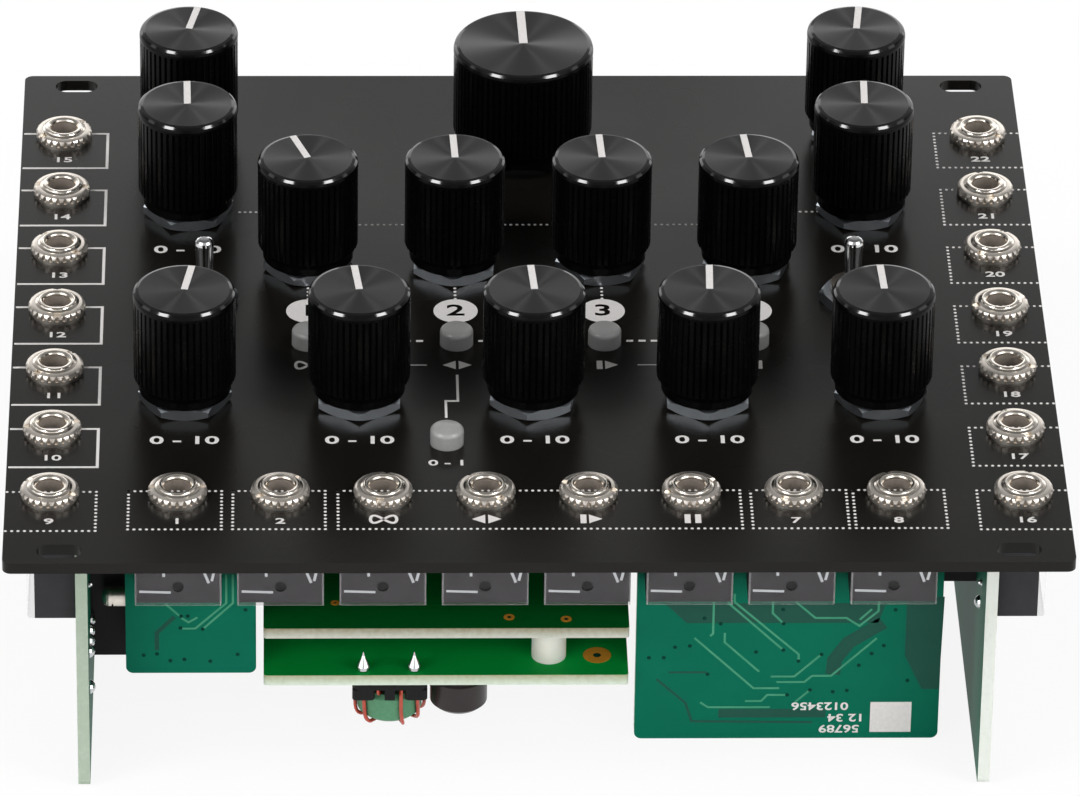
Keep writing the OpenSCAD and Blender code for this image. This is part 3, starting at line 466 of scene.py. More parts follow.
# Lacquered laminate: a deep bluish or yellowish green, with chalky edges.
for node, axis, gloss, *colours in (
        # The side boards' green is a darker copy of the front board's: painted shade for their shaded inner faces.
        # Their box spans both boards, so the edge range makes the left board's edges darker than the right's:
        # painted shade too.
        ("side_jack_boards", "X", 0.06, "#064a38", "#085a43", "#98a595", "#c9cdc6"),
        ("front_jack_board", "Y", 0.05, "#055a46", "#07664e", "#bcc6b8", "#cdd6c9"),
        # The main, control and power boards share one yellowish green: the main and control boards take a darker
        # copy of it, painted shade, and the power board a brighter one, painted light, on faces and edges alike.
        ("main_board", "Z", 0.05, "#025a22", "#036829", "#bcc0b5", "#847e65"),
        ("power_board", "Z", 0.05, "#038a37", "#049a3e", "#ccd7c9", "#9aa07e"),
        ("control_board", "Z", 0.05, "#025a22", "#036829", "#bcc0b5", "#847e65")):
    dress([node], board("fr4_" + node, node, axis, gloss, *colours))
print("boards: threads", thread_w_mm, "mm, clouds", stain_mm, "mm")

# %% [markdown]
# ## Choke and capacitor
# The choke is a ferrite ring with a green powder coat and two windings of red enamelled copper. The capacitor
# is an aluminium can in a shrunk dark sleeve, which is glossy and slightly wavy.

# %% Ferrite, copper and sleeve
powder_mm, powder_deep_mm, tint_mm, ripple_mm, ripple_deep_mm = 0.5, 0.03, 0.9, 2.5, 0.06
# Powder coat: a pale green skin with an orange-peel grain.
ferrite_green = mottled(
    "powder_coated_ferrite", "#47805c", ("#3c7350", "#558d69"), powder_mm, detail=3.0,
    dents=(powder_deep_mm, 0.5), Roughness=0.5)
dress(["choke_core"], ferrite_green)

# Enamelled copper: metal red under a clear and glossy coat.
enamel_copper = mottled(
    "enamelled_copper", "#b03a20", ("#982814", "#c6482a"), tint_mm, Metallic=0.5, Roughness=0.3,
    Coat_Weight=0.8, Coat_Roughness=0.08)
dress(["choke_winding"], enamel_copper)

# Shrunk sleeve: brownish black, with a wavy gloss.
dark_sleeve = mottled(
    "pvc_sleeve_dark", "#261f20", ("#211a1b", "#2d2526"), ripple_mm, detail=1.0, dents=(ripple_deep_mm, 0.4),
    Roughness=0.3, Specular_IOR_Level=0.35)
dress(["power_capacitor"], dark_sleeve)
print("choke and capacitor dressed: powder", powder_mm, "mm, sleeve waves", ripple_mm, "mm")

# %% [markdown]
# ## Thin shapes
# Print, tracks and paint are a few hundredths of a millimetre thick. They could be decals drawn in a material,
# but thin closed meshes stay sharp at any size and carry their own finish. The helpers draw in a plane, in
# millimetres; a place function says where a point of that plane, and a height above it, is on the object.

# %% Helpers for thin shapes
def plate(shape, outline, place, thickness):
    """Adds a thin closed plate with a convex outline."""
    low, high = ([shape.verts.new(Vector(place(*p, h)) * MM) for p in outline] for h in (0, thickness))
    shape.faces.new(high)
    shape.faces.new(low[::-1])
    for i in range(len(low)):
        shape.faces.new((low[i - 1], low[i], high[i], high[i - 1]))


def spot(shape, centre, radius, place, thickness, corners=8):
    """Adds a thin round plate."""
    turns = [math.tau * i / corners for i in range(corners)]
    rim = [(centre[0] + radius * math.cos(t), centre[1] + radius * math.sin(t)) for t in turns]
    plate(shape, rim, place, thickness)


def band(shape, path, width, place, thickness, loop=False):
    """Adds a thin closed strip along a path, with mitred corners."""
    path = [Vector(p) for p in path]
    ends = [path[-1]] + path + [path[0]] if loop else [None] + path + [None]
    rows = []
    for before, p, after in zip(ends, ends[1:], ends[2:]):
        steps = [(b - a).normalized() for a, b in ((before, p), (p, after)) if a is not None and b is not None]
        along = sum(steps, Vector((0, 0))).normalized()
        reach = Vector((-along.y, along.x)) * width / 2 / along.dot(steps[-1])
        corners = ((p - reach, 0), (p + reach, 0), (p + reach, thickness), (p - reach, thickness))
        rows.append([shape.verts.new(Vector(place(*q, h)) * MM) for q, h in corners])
    for a, b in zip(rows, rows[1:] + rows[:1] if loop else rows[1:]):
        for i in range(4):
            shape.faces.new((a[i - 1], a[i], b[i], b[i - 1]))
    if not loop:
        shape.faces.new(rows[0])
        shape.faces.new(rows[-1][::-1])


def piece(name, shape, material, body="module"):
    """Turns a shape into a piece that moves with a body."""
    bmesh.ops.recalc_face_normals(shape, faces=shape.faces)
    mesh = bpy.data.meshes.new(name)
    open_edges = sum(len(edge.link_faces) != 2 for edge in shape.edges)
    shape.to_mesh(mesh)
    shape.free()
    mesh.materials.append(material)
    thing = bpy.data.objects.new(name, mesh)
    scene.collection.objects.link(thing)
    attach(thing, body)
    print("piece", name, "faces", len(mesh.polygons), "open edges", open_edges)
    return thing


Y, Z, LOW, HIGH = 1, 2, 0, 1


def face_of(node, axis, end):
    """Place function of a node's low or high face along an axis: the other two axes in order, then the height."""
    level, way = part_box(node)[end][axis] / MM, 1 if end == HIGH else -1

    def place(*flat):
        spots = list(flat[:2])
        spots.insert(axis, level + way * flat[2])
        return spots

    return place


print("thin shapes ready")

# %% [markdown]
# ## White print
# The print is white epoxy ink, pushed through a screen before the parts went in. Every jack has a frame, solid
# or dotted. The ink is matte and a little uneven, because the screen's threads leave thin spots.

# %% Frames at the jacks
mesh_mm = 0.4
# Screened ink: matte and nearly white, with thin spots.
ink = mottled(
    "epoxy_ink_white", "#cfccca", ("#c6c3c1", "#dad7d5"), mesh_mm, Roughness=0.6)

on_panel = face_of("front_panel", Z, HIGH)
panel_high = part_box("front_panel")[1] / MM
ink_mm, line_mm, dot_gap_mm, dot_r_mm = 0.03, 0.4, 0.84, 0.22


def dotted(shape, path):
    """Adds spots of ink along a path, evenly spaced."""
    for a, b in zip(path, path[1:]):
        count = round((Vector(b) - Vector(a)).length / dot_gap_mm)
        for i in range(count):
            spot(shape, Vector(a).lerp(Vector(b), i / count), dot_r_mm, on_panel, ink_mm)
    spot(shape, path[-1], dot_r_mm, on_panel, ink_mm)


frame_up, frame_down, frame_in, edge_mm = 0.9, 8.7, 6.2, 0.25
column_jacks = {name: spot_mm for name, spot_mm in jacks.items() if not name.startswith("jack_row")}
marks = bmesh.new()
for name, spot_mm in column_jacks.items():
    side = math.copysign(1, spot_mm.x)
    inner, edge = spot_mm.x - side * frame_in, side * (panel_high.x - edge_mm)
    top, bottom = spot_mm.y + frame_up, spot_mm.y - frame_down
    path = [(edge, top), (inner, top), (inner, bottom), (edge, bottom)]
    if side < 0 and name != "jack_left_1":
        band(marks, path, line_mm, on_panel, ink_mm)
    else:
        dotted(marks, path)
row_y, row_up, row_down = jacks["jack_row_1"].y, 1.05, 8.35
row_frames = [(-54.5, -42.1), (-40.6, -28.3), (-26.6, 27.1), (28.5, 41.3), (42.2, 54.4)]
for left, right in row_frames:
    top, bottom = row_y + row_up, row_y - row_down
    dotted(marks, [(left, top), (right, top), (right, bottom), (left, bottom), (left, top)])
print("frames:", len(column_jacks), "at the columns,", len(row_frames), "at the row")

# %% [markdown]
# ## Head marks
# Each head has a white disc with its number and a dotted stem. Dashes join the buttons of the four heads, and
# thin rules and a stepped line lead from their signs to the low button.

# %% Head marks
def middle_of(node):
    """The middle of a CAD node's box, in millimetres."""
    return sum(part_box(node), Vector()) / 2 / MM


heads = [middle_of(f"button_head_{i}") for i in range(1, 5)]
low_button = middle_of("button_low")
disc_y, disc_r, disc_corners, stem_y, dash_y, sign_y = -0.6, 3.05, 48, (2.6, 5.4), -8.5, -14.75
for head in heads:
    spot(marks, (head.x, disc_y), disc_r, on_panel, ink_mm, disc_corners)
    dotted(marks, [(head.x, y) for y in stem_y])

dash_mm, dash_step_mm, dash_w, button_r = 0.96, 1.68, 0.45, 3.0
for left, right in zip(heads, heads[1:]):
    x = left.x + button_r
    while x + dash_mm < right.x - button_r:
        band(marks, [(x, dash_y), (x + dash_mm, dash_y)], dash_w, on_panel, ink_mm)
        x += dash_step_mm

rule_w, step_w, step_x, step_y = 0.22, 0.35, -10.2, (-17.3, -24.0, -28.3)
for left, right in ((-27.0, -14.3), (14.5, 26.5)):
    band(marks, [(left, sign_y), (right, sign_y)], rule_w, on_panel, ink_mm)
step_path = [(step_x, step_y[0]), (step_x, step_y[1]), (low_button.x, step_y[1]), (low_button.x, step_y[2])]
band(marks, step_path, step_w, on_panel, ink_mm)
print("heads:", len(heads), "at x", [round(head.x, 2) for head in heads])

# %% [markdown]
# ## Transport signs
# Each head's button, and a jack in the row, has a sign as on a tape machine: a loop, both ways, one step, and
# pause. The loop is one band along a lying figure of eight, written as a curve, so that it closes without a seam.

# %% Transport signs
sign_h, bar_w, arrow_w, arrow_gap = 2.1, 0.8, 1.75, 0.2
pause_half, step_bar, step_arrow = 0.7, -0.85, -0.1
loop_half, loop_rise, loop_w, loop_points = 1.75, 0.9025, 0.42, 32


def signs(shape, columns, y):
    """Adds the four transport signs at four columns."""
    loop, both, step, pause = columns
    low, high = y - sign_h / 2, y + sign_h / 2
    turns = [math.tau * (i + 0.5) / loop_points for i in range(loop_points)]
    eight = [(loop + loop_half * math.cos(t), y + loop_rise * math.sin(2 * t)) for t in turns]
    band(shape, eight, loop_w, on_panel, ink_mm, loop=True)
    for way in (-1, 1):
        root, tip = both + way * arrow_gap, both + way * (arrow_gap + arrow_w)
        plate(shape, [(root, low), (root, high), (tip, y)], on_panel, ink_mm)
        bar = pause + way * pause_half
        band(shape, [(bar, low), (bar, high)], bar_w, on_panel, ink_mm)
    band(shape, [(step + step_bar, low), (step + step_bar, high)], bar_w, on_panel, ink_mm)
    root = step + step_arrow
    plate(shape, [(root, low), (root, high), (root + arrow_w, y)], on_panel, ink_mm)


row_sign_drop = 5.95
signs(marks, [head.x for head in heads], sign_y)
signs(marks, [jacks[f"jack_row_{i}"].x for i in range(3, 7)], row_y - row_sign_drop)
for left, right, y in ((-40.0, -37.7, 26.0), (38.7, 41.2, 26.0), (-24.0, 25.0, 22.5)):
    dotted(marks, [(left, y), (right, y)])
piece("panel_print", marks, ink)

# %% [markdown]
# ## Figures
# Every jack has a plain number and every knob in the open a scale from 0 to 10. Blender's own font gives the
# outlines; as extruded text they are open where the sides meet the caps, so the doubled points are welded. On
# the discs the panel shows through the figure. A hole in ink is awkward, so a black figure lies on the disc.

# %% Figures on the panel
cap_share, font_curve_steps, font_bold, weld_mm = 0.7, 3, 0.02, 1e-4


def figures(shape, text, middle, cap_mm, stretch, lift_mm=0, place=on_panel, turn=Matrix.Identity(4)):
    """Adds a short text as closed thin letters, centred on a point of a plane and turned into it."""
    curve = bpy.data.curves.new("figure", "FONT")
    curve.body, curve.align_x, curve.align_y = text, "CENTER", "CENTER"
    curve.extrude, curve.offset, curve.resolution_u = 0.5, font_bold, font_curve_steps
    letters = bpy.data.objects.new("figure", curve)
    scene.collection.objects.link(letters)
    mesh = bpy.data.meshes.new_from_object(letters.evaluated_get(bpy.context.evaluated_depsgraph_get()))
    size = cap_mm / cap_share * MM
    centre = Vector(place(*middle, lift_mm + ink_mm / 2)) * MM
    mesh.transform(Matrix.Translation(centre) @ turn @ Matrix.Diagonal((size * stretch, size, ink_mm * MM, 1)))
    shape.from_mesh(mesh)
    bpy.data.objects.remove(letters)
    bpy.data.curves.remove(curve)
    bpy.data.meshes.remove(mesh)
    bmesh.ops.remove_doubles(shape, verts=shape.verts, dist=weld_mm * MM)


labels = bmesh.new()
number_drop, number_cap, scale_drop, scale_cap, figure_stretch = 6.4, 1.3, 10.5, 1.85, 1.5
for number, (name, spot_mm) in enumerate(jacks.items(), 1):
    if not (name.startswith("jack_row") and name[-1] in "3456"):
        figures(labels, str(number), (spot_mm.x, spot_mm.y - number_drop), number_cap, figure_stretch)
for name in named("knob_low", "knob_upper"):
    middle = middle_of(name)
    figures(labels, "0 - 10", (middle.x, middle.y - scale_drop), scale_cap, figure_stretch)
low_scale_y = -39.7
figures(labels, "0 - 1", (low_button.x, low_scale_y), number_cap, figure_stretch)
piece("panel_figures", labels, ink)

head_cap, head_stretch = 2.8, 1.3
cut_out = bmesh.new()
for number, head in enumerate(heads, 1):
    figures(cut_out, str(number), (head.x, disc_y), head_cap, head_stretch, ink_mm)
piece("head_figures", cut_out, panel_black)

# %% [markdown]
# ## Pointers
# A white line is filled into the groove of every knob, from the axis out through the rounded rim. The fill is a
# long bar seen from its side: a hair below the top, and curved down at its outer end like the rim. Its direction
# is the middle of the knob's own turning range, so the bar follows the groove whatever the knob's rest angle is.

# %% Pointer paint
pointer_w, large_pointer_w, large_from = 0.96, 1.21, 8.0
pointer_start, groove_mm = 0.12, 0.2
rim_curve = [(0.31, 0.0), (0.41, 0.09), (0.73, 0.18)]


def in_groove(centre, top, facing, width):
    """Place function of a groove: out along the pointer, up from its floor, and across it."""
    def place(out, height, across):
        flat = facing @ Vector((across - width / 2, out))
        return centre.x + flat.x, centre.y + flat.y, top - groove_mm + height

    return place


for joint in frame["joints"]:
    if not joint["name"].startswith("turn_"):
        continue
    word = joint["name"].removeprefix("turn_")
    low, high = (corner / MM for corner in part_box("knob_" + word))
    radius = (high.x - low.x) / 2
    facing = Matrix.Rotation(math.radians(-sum(joint["range_deg"]) / 2), 2)
    width = large_pointer_w if radius > large_from else pointer_w
    side_view = [(radius - inset, height) for inset, height in rim_curve]
    side_view += [(pointer_start, rim_curve[-1][1]), (pointer_start, 0)]
    bar = bmesh.new()
    plate(bar, side_view, in_groove((low + high) / 2, high.z, facing, width), width)
    piece("pointer_" + word, bar, ink, "dial_" + word)

# %% [markdown]
# ## Dark laminate
# Where the copper under the lacquer is etched away in larger areas, the front board looks darker and duller, for
# the bare laminate shows through. A mask in the board's material could do it, but flat plates of half a track's
# height follow the true outlines, and the tracks then lie on top of them.

# %% Cleared areas of the front board
laminate_mm, track_t = 6.0, 0.02
on_front_board = face_of("front_jack_board", Y, LOW)
# Bare laminate under lacquer: a greyish dark green.
bare_green = mottled(
    "lacquered_laminate_dark", "#224c41", ("#1d463c", "#235043"), laminate_mm, Roughness=0.5,
    Specular_IOR_Level=0.05)

clear_areas = [
    [(50.3, -17.0), (55.4, -17.0), (55.1, -32.0), (52.8, -32.0), (50.3, -26.5)],
    [(17.6, -18.0), (47.5, -18.0), (46.5, -21.2), (20.6, -21.2)],
]
clear_bands = [
    (2.0, [(47.2, -21.2), (42.6, -24.4), (40.8, -27.2), (40.6, -29.6)]),
    (1.4, [(25.2, -35.9), (39.8, -35.9)]),
    (0.35, [(16.7, -30.3), (20.7, -34.2), (21.6, -37.2), (38, -37.4)]),
    (0.3, [(18.3, -29.2), (23.5, -29.2)]),
    (0.6, [(-48.6, -20.0), (-51, -22.6), (-51, -25.4)]),
]
clearings = bmesh.new()
for outline in clear_areas:
    plate(clearings, outline, on_front_board, track_t / 2)
for width, path in clear_bands:
    band(clearings, path, width, on_front_board, track_t / 2)
piece("board_clearings", clearings, bare_green)

# %% [markdown]
# ## Print on the front board
# The board's right leg has a white box and a few rows of digits, printed like the panel. The board hangs head
# down behind the jacks, so the digits stand upside down: a matrix turns them into the board's face that way.

# %% Print on the front board
upside_down = Matrix(((-1, 0, 0, 0), (0, 0, -1, 0), (0, -1, 0, 0), (0, 0, 0, 1)))
box_x, box_z, digit_cap, digit_stretch = (45.9, 51.5), (-34.1, -39.0), 1.2, 1.3
box_outline = [(box_x[0], box_z[0]), (box_x[1], box_z[0]), (box_x[1], box_z[1]), (box_x[0], box_z[1])]
silk = bmesh.new()
plate(silk, box_outline, on_front_board, ink_mm)
for text, x, z in (("0123456", 39.0, -34.7), ("12 34", 42.6, -36.6), ("56789", 41.7, -38.4)):
    figures(silk, text, (x, z), digit_cap, digit_stretch, 0, on_front_board, upside_down)
piece("board_print", silk, ink)

# %% [markdown]
# ## Tracks
# Copper tracks lie under the lacquer and show as paler green lines, with small dark holes where a track goes
# through to the other side. On the two legs of the front board they fan down from the jacks. On the outer faces
# of the side boards one line comes down from each jack and turns along the board to its header.

# %% Tracks on the front board
etch_mm, bore_grain_mm = 3.0, 0.3
# Copper under lacquer: a paler, glossier green.
track_green = mottled(
    "lacquered_copper", "#4b9472", ("#2b7a5e", "#4b9374"), etch_mm, Roughness=0.4, Specular_IOR_Level=0.1)

# A drilled wall in shade: almost black green.
hole_dark = mottled(
    "drilled_epoxy_dark", "#06352a", ("#042a21", "#084034"), bore_grain_mm, detail=1.0, Roughness=0.7,
    Specular_IOR_Level=0.05)

track_mm, hole_r, hole_corners = 0.3, 0.28, 12
front_tracks = [
    [(24.2, -16.5), (24.2, -22.9), (23.8, -23.3)], [(26.2, -16.5), (26.2, -18), (33.8, -25.6)],
    [(27, -16.5), (27, -17.8), (35.9, -26.3), (35.9, -27.4)], [(21.7, -23.6), (29.9, -31.8), (33.4, -31.8)],
    [(25.8, -22.8), (25.8, -24.3), (30.6, -29.1)], [(32.2, -16.5), (32.2, -19.6), (33.7, -21.3)],
    [(35.4, -16.5), (35.4, -17.9), (38, -20.4), (42.2, -20.4), (44, -21.7), (46.5, -19.3), (46.5, -16.5)],
    [(44, -20.7), (45.6, -19)], [(32.2, -29.9), (35.4, -29.9), (39, -26.3)],
    [(33, -30.8), (36.8, -30.8), (37.8, -29.8), (40.4, -29.8), (46.4, -23.7)],
    [(28.8, -33.9), (31, -33.9), (31.8, -32.9), (34.5, -32.9)], [(22.7, -34.1), (23.8, -34.9), (32.2, -34.9)],
    [(35.6, -34.1), (37.6, -32.1)],
    [(-41.6, -13.2), (-41.6, -17.8), (-45.8, -21.9), (-47.6, -21.9)],
    [(-40.7, -13.2), (-40.7, -17.8), (-44.7, -21.9)],
    [(-49.8, -17.9), (-47.4, -20.4), (-46.7, -20.9), (-45.5, -20.1)],
]
front_holes = [
    (23, -20.4), (25.2, -21.3), (33.6, -19), (48.8, -19.1), (19.1, -25.1), (21.1, -24.9), (15.6, -26.8),
    (17.6, -26.8), (23.6, -29.5), (30.1, -25.9), (45.8, -26.2), (47.4, -24.9), (44.1, -28.1), (50.8, -30.6),
    (40.7, -32.4), (42.6, -32.2), (33.8, -25.6), (35.9, -27.4), (33.7, -21.3), (39, -26.3), (34.5, -32.9),
    (37.6, -32.1), (-46.8, -19.9), (-47.7, -19.9), (-44.8, -22), (-47.8, -21.8), (-39, -18.9), (-52.8, -26.2),
    (-51, -26), (-49.2, -27.1), (-47.3, -26.9), (-43.8, -27.2), (-40.1, -26.1),
]
tracks, holes = bmesh.new(), bmesh.new()
for path in front_tracks:
    band(tracks, path, track_mm, on_front_board, track_t)
for centre in front_holes:
    spot(holes, centre, hole_r, on_front_board, 2 * track_t, hole_corners)
print("front board: tracks", len(front_tracks), "holes", len(front_holes))

# %% Tracks on the side boards
side_face_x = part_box("side_jack_boards")[1].x / MM


def outside_of(side):
    """Place function of one side board's outer face."""
    return lambda y, z, height: (side * (side_face_x + height), y, z)


header_y, header_z, bus_top, bus_step, jack_foot = -37.5, -31.0, -18.0, 1.3, -14.6
for side, column in ((-1, "jack_left_"), (1, "jack_right_")):
    for i in range(1, 8):
        y, z, stop = jacks[f"{column}{i}"].y, bus_top - bus_step * i, header_y + bus_step * i
        path = [(y, jack_foot), (y, z), (stop, z), (stop, header_z - i % 2)]
        band(tracks, path, track_mm, outside_of(side), track_t)
        spot(holes, path[-1], hole_r, outside_of(side), 2 * track_t, hole_corners)
piece("board_tracks", tracks, track_green)
piece("board_holes", holes, hole_dark)

# %% [markdown]
# ## Solder
# Where a lead comes through a board, solder climbs it and freezes into a small bright cone with hollow sides.
# A turned profile gives that form, and one function stands it on any face of any board. The choke's two leads
# come up through the power board with a lot of solder, which is what shows from the front.

# %% Helpers for solder
def turned(shape, profile, centre, place, sides=12):
    """Adds a closed turned form. The profile is a loop of (radius, height) that may touch the axis."""
    rings = []
    for radius, height in profile:
        turns = [math.tau * (k + 0.5) / sides for k in range(sides if radius else 1)]
        around = [(centre[0] + radius * math.cos(t), centre[1] + radius * math.sin(t)) for t in turns]
        rings.append([shape.verts.new(Vector(place(*p, height)) * MM) for p in around])
    for a, b in zip(rings, rings[1:] + rings[:1]):
        for k in range(sides):
            corners = [a[k % len(a)], a[(k + 1) % len(a)], b[(k + 1) % len(b)], b[k % len(b)]]
            corners = list(dict.fromkeys(corners))
            if len(corners) > 2:
                shape.faces.new(corners)


board_mm = 1.6


def inside_of(side):
    """Place function of one side board's inner face."""
    return lambda y, z, height: (side * (side_face_x - board_mm - height), y, z)


print("boards are", board_mm, "mm thick")

# %% Solder joints
dull_mm = 0.5
# Frozen tin: a bright mirror with dull patches.
solder = mottled(
    "tin_solder", "#c9cbcc", ("#b9bbbd", "#d8dadb"), dull_mm, rough_between=(0.12, 0.3), Metallic=1.0,
    Roughness=0.2)

small_joint = [(0, 0), (0.62, 0), (0.5, 0.12), (0.34, 0.28), (0.24, 0.46), (0, 0.52)]
flat_joint = [(0, 0), (1.0, 0), (0.85, 0.3), (0.5, 0.6), (0, 0.75)]
tall_joint = [
    (0, 0), (0.8, 0), (0.95, 0.35), (0.92, 0.8), (0.7, 1.35), (0.4, 1.9), (0.2, 2.4), (0.08, 2.85), (0, 2.95)]
choke_leads = [(-23.1, -44.7), (-16.2, -44.7)]
joints = bmesh.new()
for lead in choke_leads:
    turned(joints, tall_joint, lead, face_of("power_board", Z, HIGH), sides=20)
    turned(joints, flat_joint, lead, face_of("main_board", Z, LOW), sides=16)
jack_pins_z = (-3.5, -7.5, -12.5)
for name, spot_mm in jacks.items():
    for z in jack_pins_z:
        if name.startswith("jack_row"):
            turned(joints, small_joint, (spot_mm.x, z), face_of("front_jack_board", Y, HIGH))
        else:
            turned(joints, small_joint, (spot_mm.y, z), inside_of(math.copysign(1, spot_mm.x)))
pin_step, pin_count, first_pin, key_pin, right_pin = 2.54, 6, (-47.2, -23.5), (-46.2, -30.0), (-45.5, -17.0)
left_pins = [(first_pin[0] + pin_step * i, first_pin[1]) for i in range(pin_count)] + [key_pin]
for pin in left_pins:
    turned(joints, flat_joint, pin, inside_of(-1))
turned(joints, flat_joint, right_pin, inside_of(1))
piece("solder_joints", joints, solder)

# %% [markdown]
# The pots, switches and toggles are soldered from below, so the underside of the control board carries a
# pattern of small joints at their legs. Where a header or a spacer stands there is no joint.

# %% Solder under the control board
covered = [(-22.4, 23.2, -1.4, 28.8), (-60, -39.3, -50.8, -32.7), (50.8, -39.3, 60, -32.7)]
pot_legs = [(-2.5, -5.6), (0, -5.6), (2.5, -5.6), (-5.1, 0), (5.1, 0)]
cap_legs = [(-2.2, -2.2), (-2.2, 2.2), (2.2, -2.2), (2.2, 2.2)]
lever_legs = [(0, -4.7), (0, 0), (0, 4.7)]
legs = []
for nodes, feet in ((named("knob_"), pot_legs), (caps, cap_legs), (named("toggle_lever"), lever_legs)):
    for middle in map(middle_of, nodes):
        legs += [(middle.x + dx, middle.y + dy) for dx, dy in feet]
legs = [p for p in legs if not any(a <= p[0] <= c and b <= p[1] <= d for a, b, c, d in covered)]
under = face_of("control_board", Z, LOW)
pot_joints = bmesh.new()
for leg in legs:
    turned(pot_joints, small_joint, leg, under, sides=10)
piece("control_joints", pot_joints, solder)

# %% [markdown]
# ## Gold pads and pins
# Test pads and through-holes on the lying boards are copper under a flash of gold, as rings around a dark hole.
# The power header holds two rows of eight square gold pins with pointed tips; four-sided turned forms do for
# them.

# %% Gold rings
tarnish_mm, pad_t, plug_t = 0.7, 0.04, 0.02
# A flash of gold: deep yellow and rather dull, since it is so thin.
gold = mottled(
    "gold_flash", "#d8942a", ("#cc8620", "#e2a036"), tarnish_mm, Metallic=0.2, Roughness=0.45)

on_power, on_main = face_of("power_board", Z, HIGH), face_of("main_board", Z, HIGH)
rings = [
    (on_power, 8.67, -41.2, 1.92, 0.55), (on_main, -26.9, -39.7, 0.6, 0.2),
    (on_main, -3.4, -43.3, 0.75, 0.3), (on_main, 4.3, -43.8, 0.75, 0.3)]
pads, plugs = bmesh.new(), bmesh.new()
for place_on, x, y, outer, inner in rings:
    turned(pads, [(inner, 0), (outer, 0), (outer, pad_t), (inner, pad_t)], (x, y), place_on, sides=24)
    spot(plugs, (x, y), inner, place_on, plug_t, hole_corners)
piece("gold_pads", pads, gold)
piece("pad_holes", plugs, hole_dark)

# %% Header pins
columns, rows, pin_r, tip_r, pin_from, pin_to, tip_mm = 8, 2, 0.45, 0.2, 0.9, 7.0, 0.6
pin_profile = [(0, pin_from), (pin_r, pin_from), (pin_r, pin_to - tip_mm), (tip_r, pin_to), (0, pin_to)]
header_middle = middle_of("power_header")
below = face_of("power_board", Z, LOW)
pins = bmesh.new()
for column in range(columns):
    for row in range(rows):
        x = header_middle.x + (column - (columns - 1) / 2) * pin_step
        y = header_middle.y + (row - (rows - 1) / 2) * pin_step
        turned(pins, pin_profile, (x, y), below, sides=4)
piece("header_pins", pins, gold)

# %% [markdown]
# ## Stage
# The module stands on a white table. Pure white paper is never quite white in a lit picture, so the floor glows
# a little where the eye, a mirror or clear plastic looks at it; the shadow stays, but pale.

# %% Floor
glow_share, reach, floor_z = 0.9, 6.0, solid_box[0][2]
# Matte paper: plain white with a soft shadow.
floor_white, tree, sockets, place = begin("paper_white", "#f4f4f4", Roughness=0.7)
rays = add(tree, "ShaderNodeLightPath").node.outputs
seen = add(tree, "ShaderNodeMath", {"operation": "MAXIMUM"}, {0: rays["Is Camera Ray"], 1: rays["Is Glossy Ray"]})
seen = add(tree, "ShaderNodeMath", {"operation": "MAXIMUM"}, {0: seen, 1: rays["Is Transmission Ray"]})
share = add(tree, "ShaderNodeMath", {"operation": "MULTIPLY"}, {0: seen, 1: glow_share})
glow = add(tree, "ShaderNodeEmission", None, {"Color": linear("#ffffff"), "Strength": 1.0})
paper = tree.nodes["Principled BSDF"].outputs["BSDF"]
surface = tree.nodes["Material Output"].inputs["Surface"]
add(tree, "ShaderNodeMixShader", None, {0: share, 1: paper, 2: glow}, surface)

floor_mesh = bpy.data.meshes.new("floor")
corners = [(-reach, -reach, floor_z), (reach, -reach, floor_z), (reach, reach, floor_z), (-reach, reach, floor_z)]
floor_mesh.from_pydata(corners, [], [(0, 1, 2, 3)])
floor_mesh.materials.append(floor_white)
floor = bpy.data.objects.new("floor", floor_mesh)
scene.collection.objects.link(floor)
print("floor at", round(floor_z / MM, 1), "mm")

# %% [markdown]
# ## Room
# Polished metal mirrors the room, so the room needs a shape. In front stands a white wall with a dimmer doorway
# where the camera is; above and behind it is grey. The doorway parts the shine on every ring into a left and a
# right one. A picture of a real room would do too, but a few map ranges on the direction are enough.

# %% Room
wall_level, door_level, top_level, back_level = 3.1, 0.8, 0.15, 0.42
world = bpy.data.worlds.new("white_room")
scene.world = world
world.use_nodes = True
tree = world.node_tree
toward = add(tree, "ShaderNodeTexCoord", out="Generated")
across, back, up = (add(tree, "ShaderNodeSeparateXYZ", None, {"Vector": toward}, out=axis) for axis in "XYZ")
aside = add(tree, "ShaderNodeMath", {"operation": "ABSOLUTE"}, {0: across})
door_range = {"Value": aside, "From Min": 0.3, "From Max": 0.45, "To Min": door_level, "To Max": wall_level}
door = add(tree, "ShaderNodeMapRange", None, door_range)
wall_range = {"Value": up, "From Min": 0.5, "From Max": 0.75, "To Min": door, "To Max": top_level}
wall = add(tree, "ShaderNodeMapRange", None, wall_range)
front_range = {"Value": back, "From Min": -0.5, "From Max": 0.0, "To Min": wall, "To Max": top_level}
rear_range = {"Value": back, "From Min": 0.3, "From Max": 0.8, "To Min": top_level, "To Max": back_level}
front = add(tree, "ShaderNodeMapRange", None, front_range)
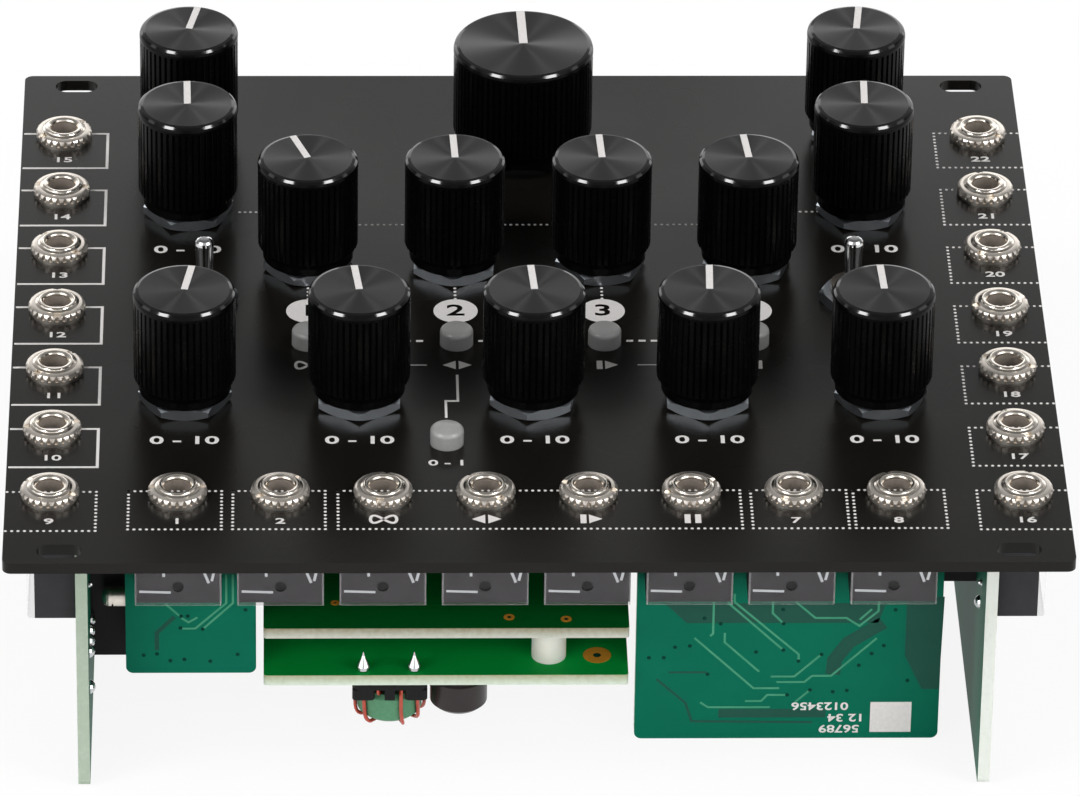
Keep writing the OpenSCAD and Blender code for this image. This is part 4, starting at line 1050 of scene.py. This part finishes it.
levels = {0: front, 1: add(tree, "ShaderNodeMapRange", None, rear_range)}
background = tree.nodes["Background"].inputs
background["Color"].default_value = linear("#ffffff")
add(tree, "ShaderNodeMath", {"operation": "MAXIMUM"}, levels, background["Strength"])
print("room: wall", wall_level, "doorway", door_level, "above", top_level, "behind", back_level)

# %% [markdown]
# ## Lamps
# Two soft boxes in front put the pair of bright dashes on every knob's rim, and two weak ones light the flanks.
# Behind stand two white cards with a narrow strip between them: they lie left and right in the knobs' turned
# tops, and the far part of the panel mirrors them while the near part stays dark. Cards are lamps too, with
# their power worked out from the brightness they should show.

# %% Lamps
def soft_box(name, place, facing, width, height, watts):
    """Adds a rectangular lamp at a place, shining against the facing direction."""
    data = bpy.data.lights.new(name, "AREA")
    data.shape, data.size, data.size_y, data.energy = "RECTANGLE", width, height, watts
    lamp = bpy.data.objects.new(name, data)
    scene.collection.objects.link(lamp)
    lamp.matrix_world = Matrix.Translation(place) @ facing.to_track_quat("Z", "Y").to_matrix().to_4x4()


lamp_m, front_watts, side_watts = 1.1, 4.3, 0.3
front_size, flank_size = (0.28, 0.24), (0.3, 0.3)
for name, side in (("left", -1), ("right", 1)):
    ahead = Vector((side * 0.55, -0.33, 0.77)).normalized()
    soft_box("soft_box_" + name, ahead * lamp_m, ahead, *front_size, front_watts)
    flank = Vector((side * 0.86, 0.12, 0.5)).normalized()
    soft_box("flank_" + name, flank * lamp_m, flank, *flank_size, side_watts)
card_y, card_facing = 0.27, Vector((0, 1, 0))
for name, x, width, low, high, card_level in (
        ("left", -0.15, 0.21, 0.02, 0.15, 1.3),
        ("right", 0.15, 0.21, 0.02, 0.15, 1.3),
        ("middle", 0.0, 0.09, 0.115, 0.165, 1.6)):
    middle = Vector((x, card_y, (low + high) / 2))
    watts = math.pi * width * (high - low) * card_level
    soft_box("card_" + name, middle, card_facing, width, high - low, watts)
scene.view_settings.view_transform = "Standard"
print("lamps:", front_watts, "W in front,", side_watts, "W at the flanks, three cards behind")
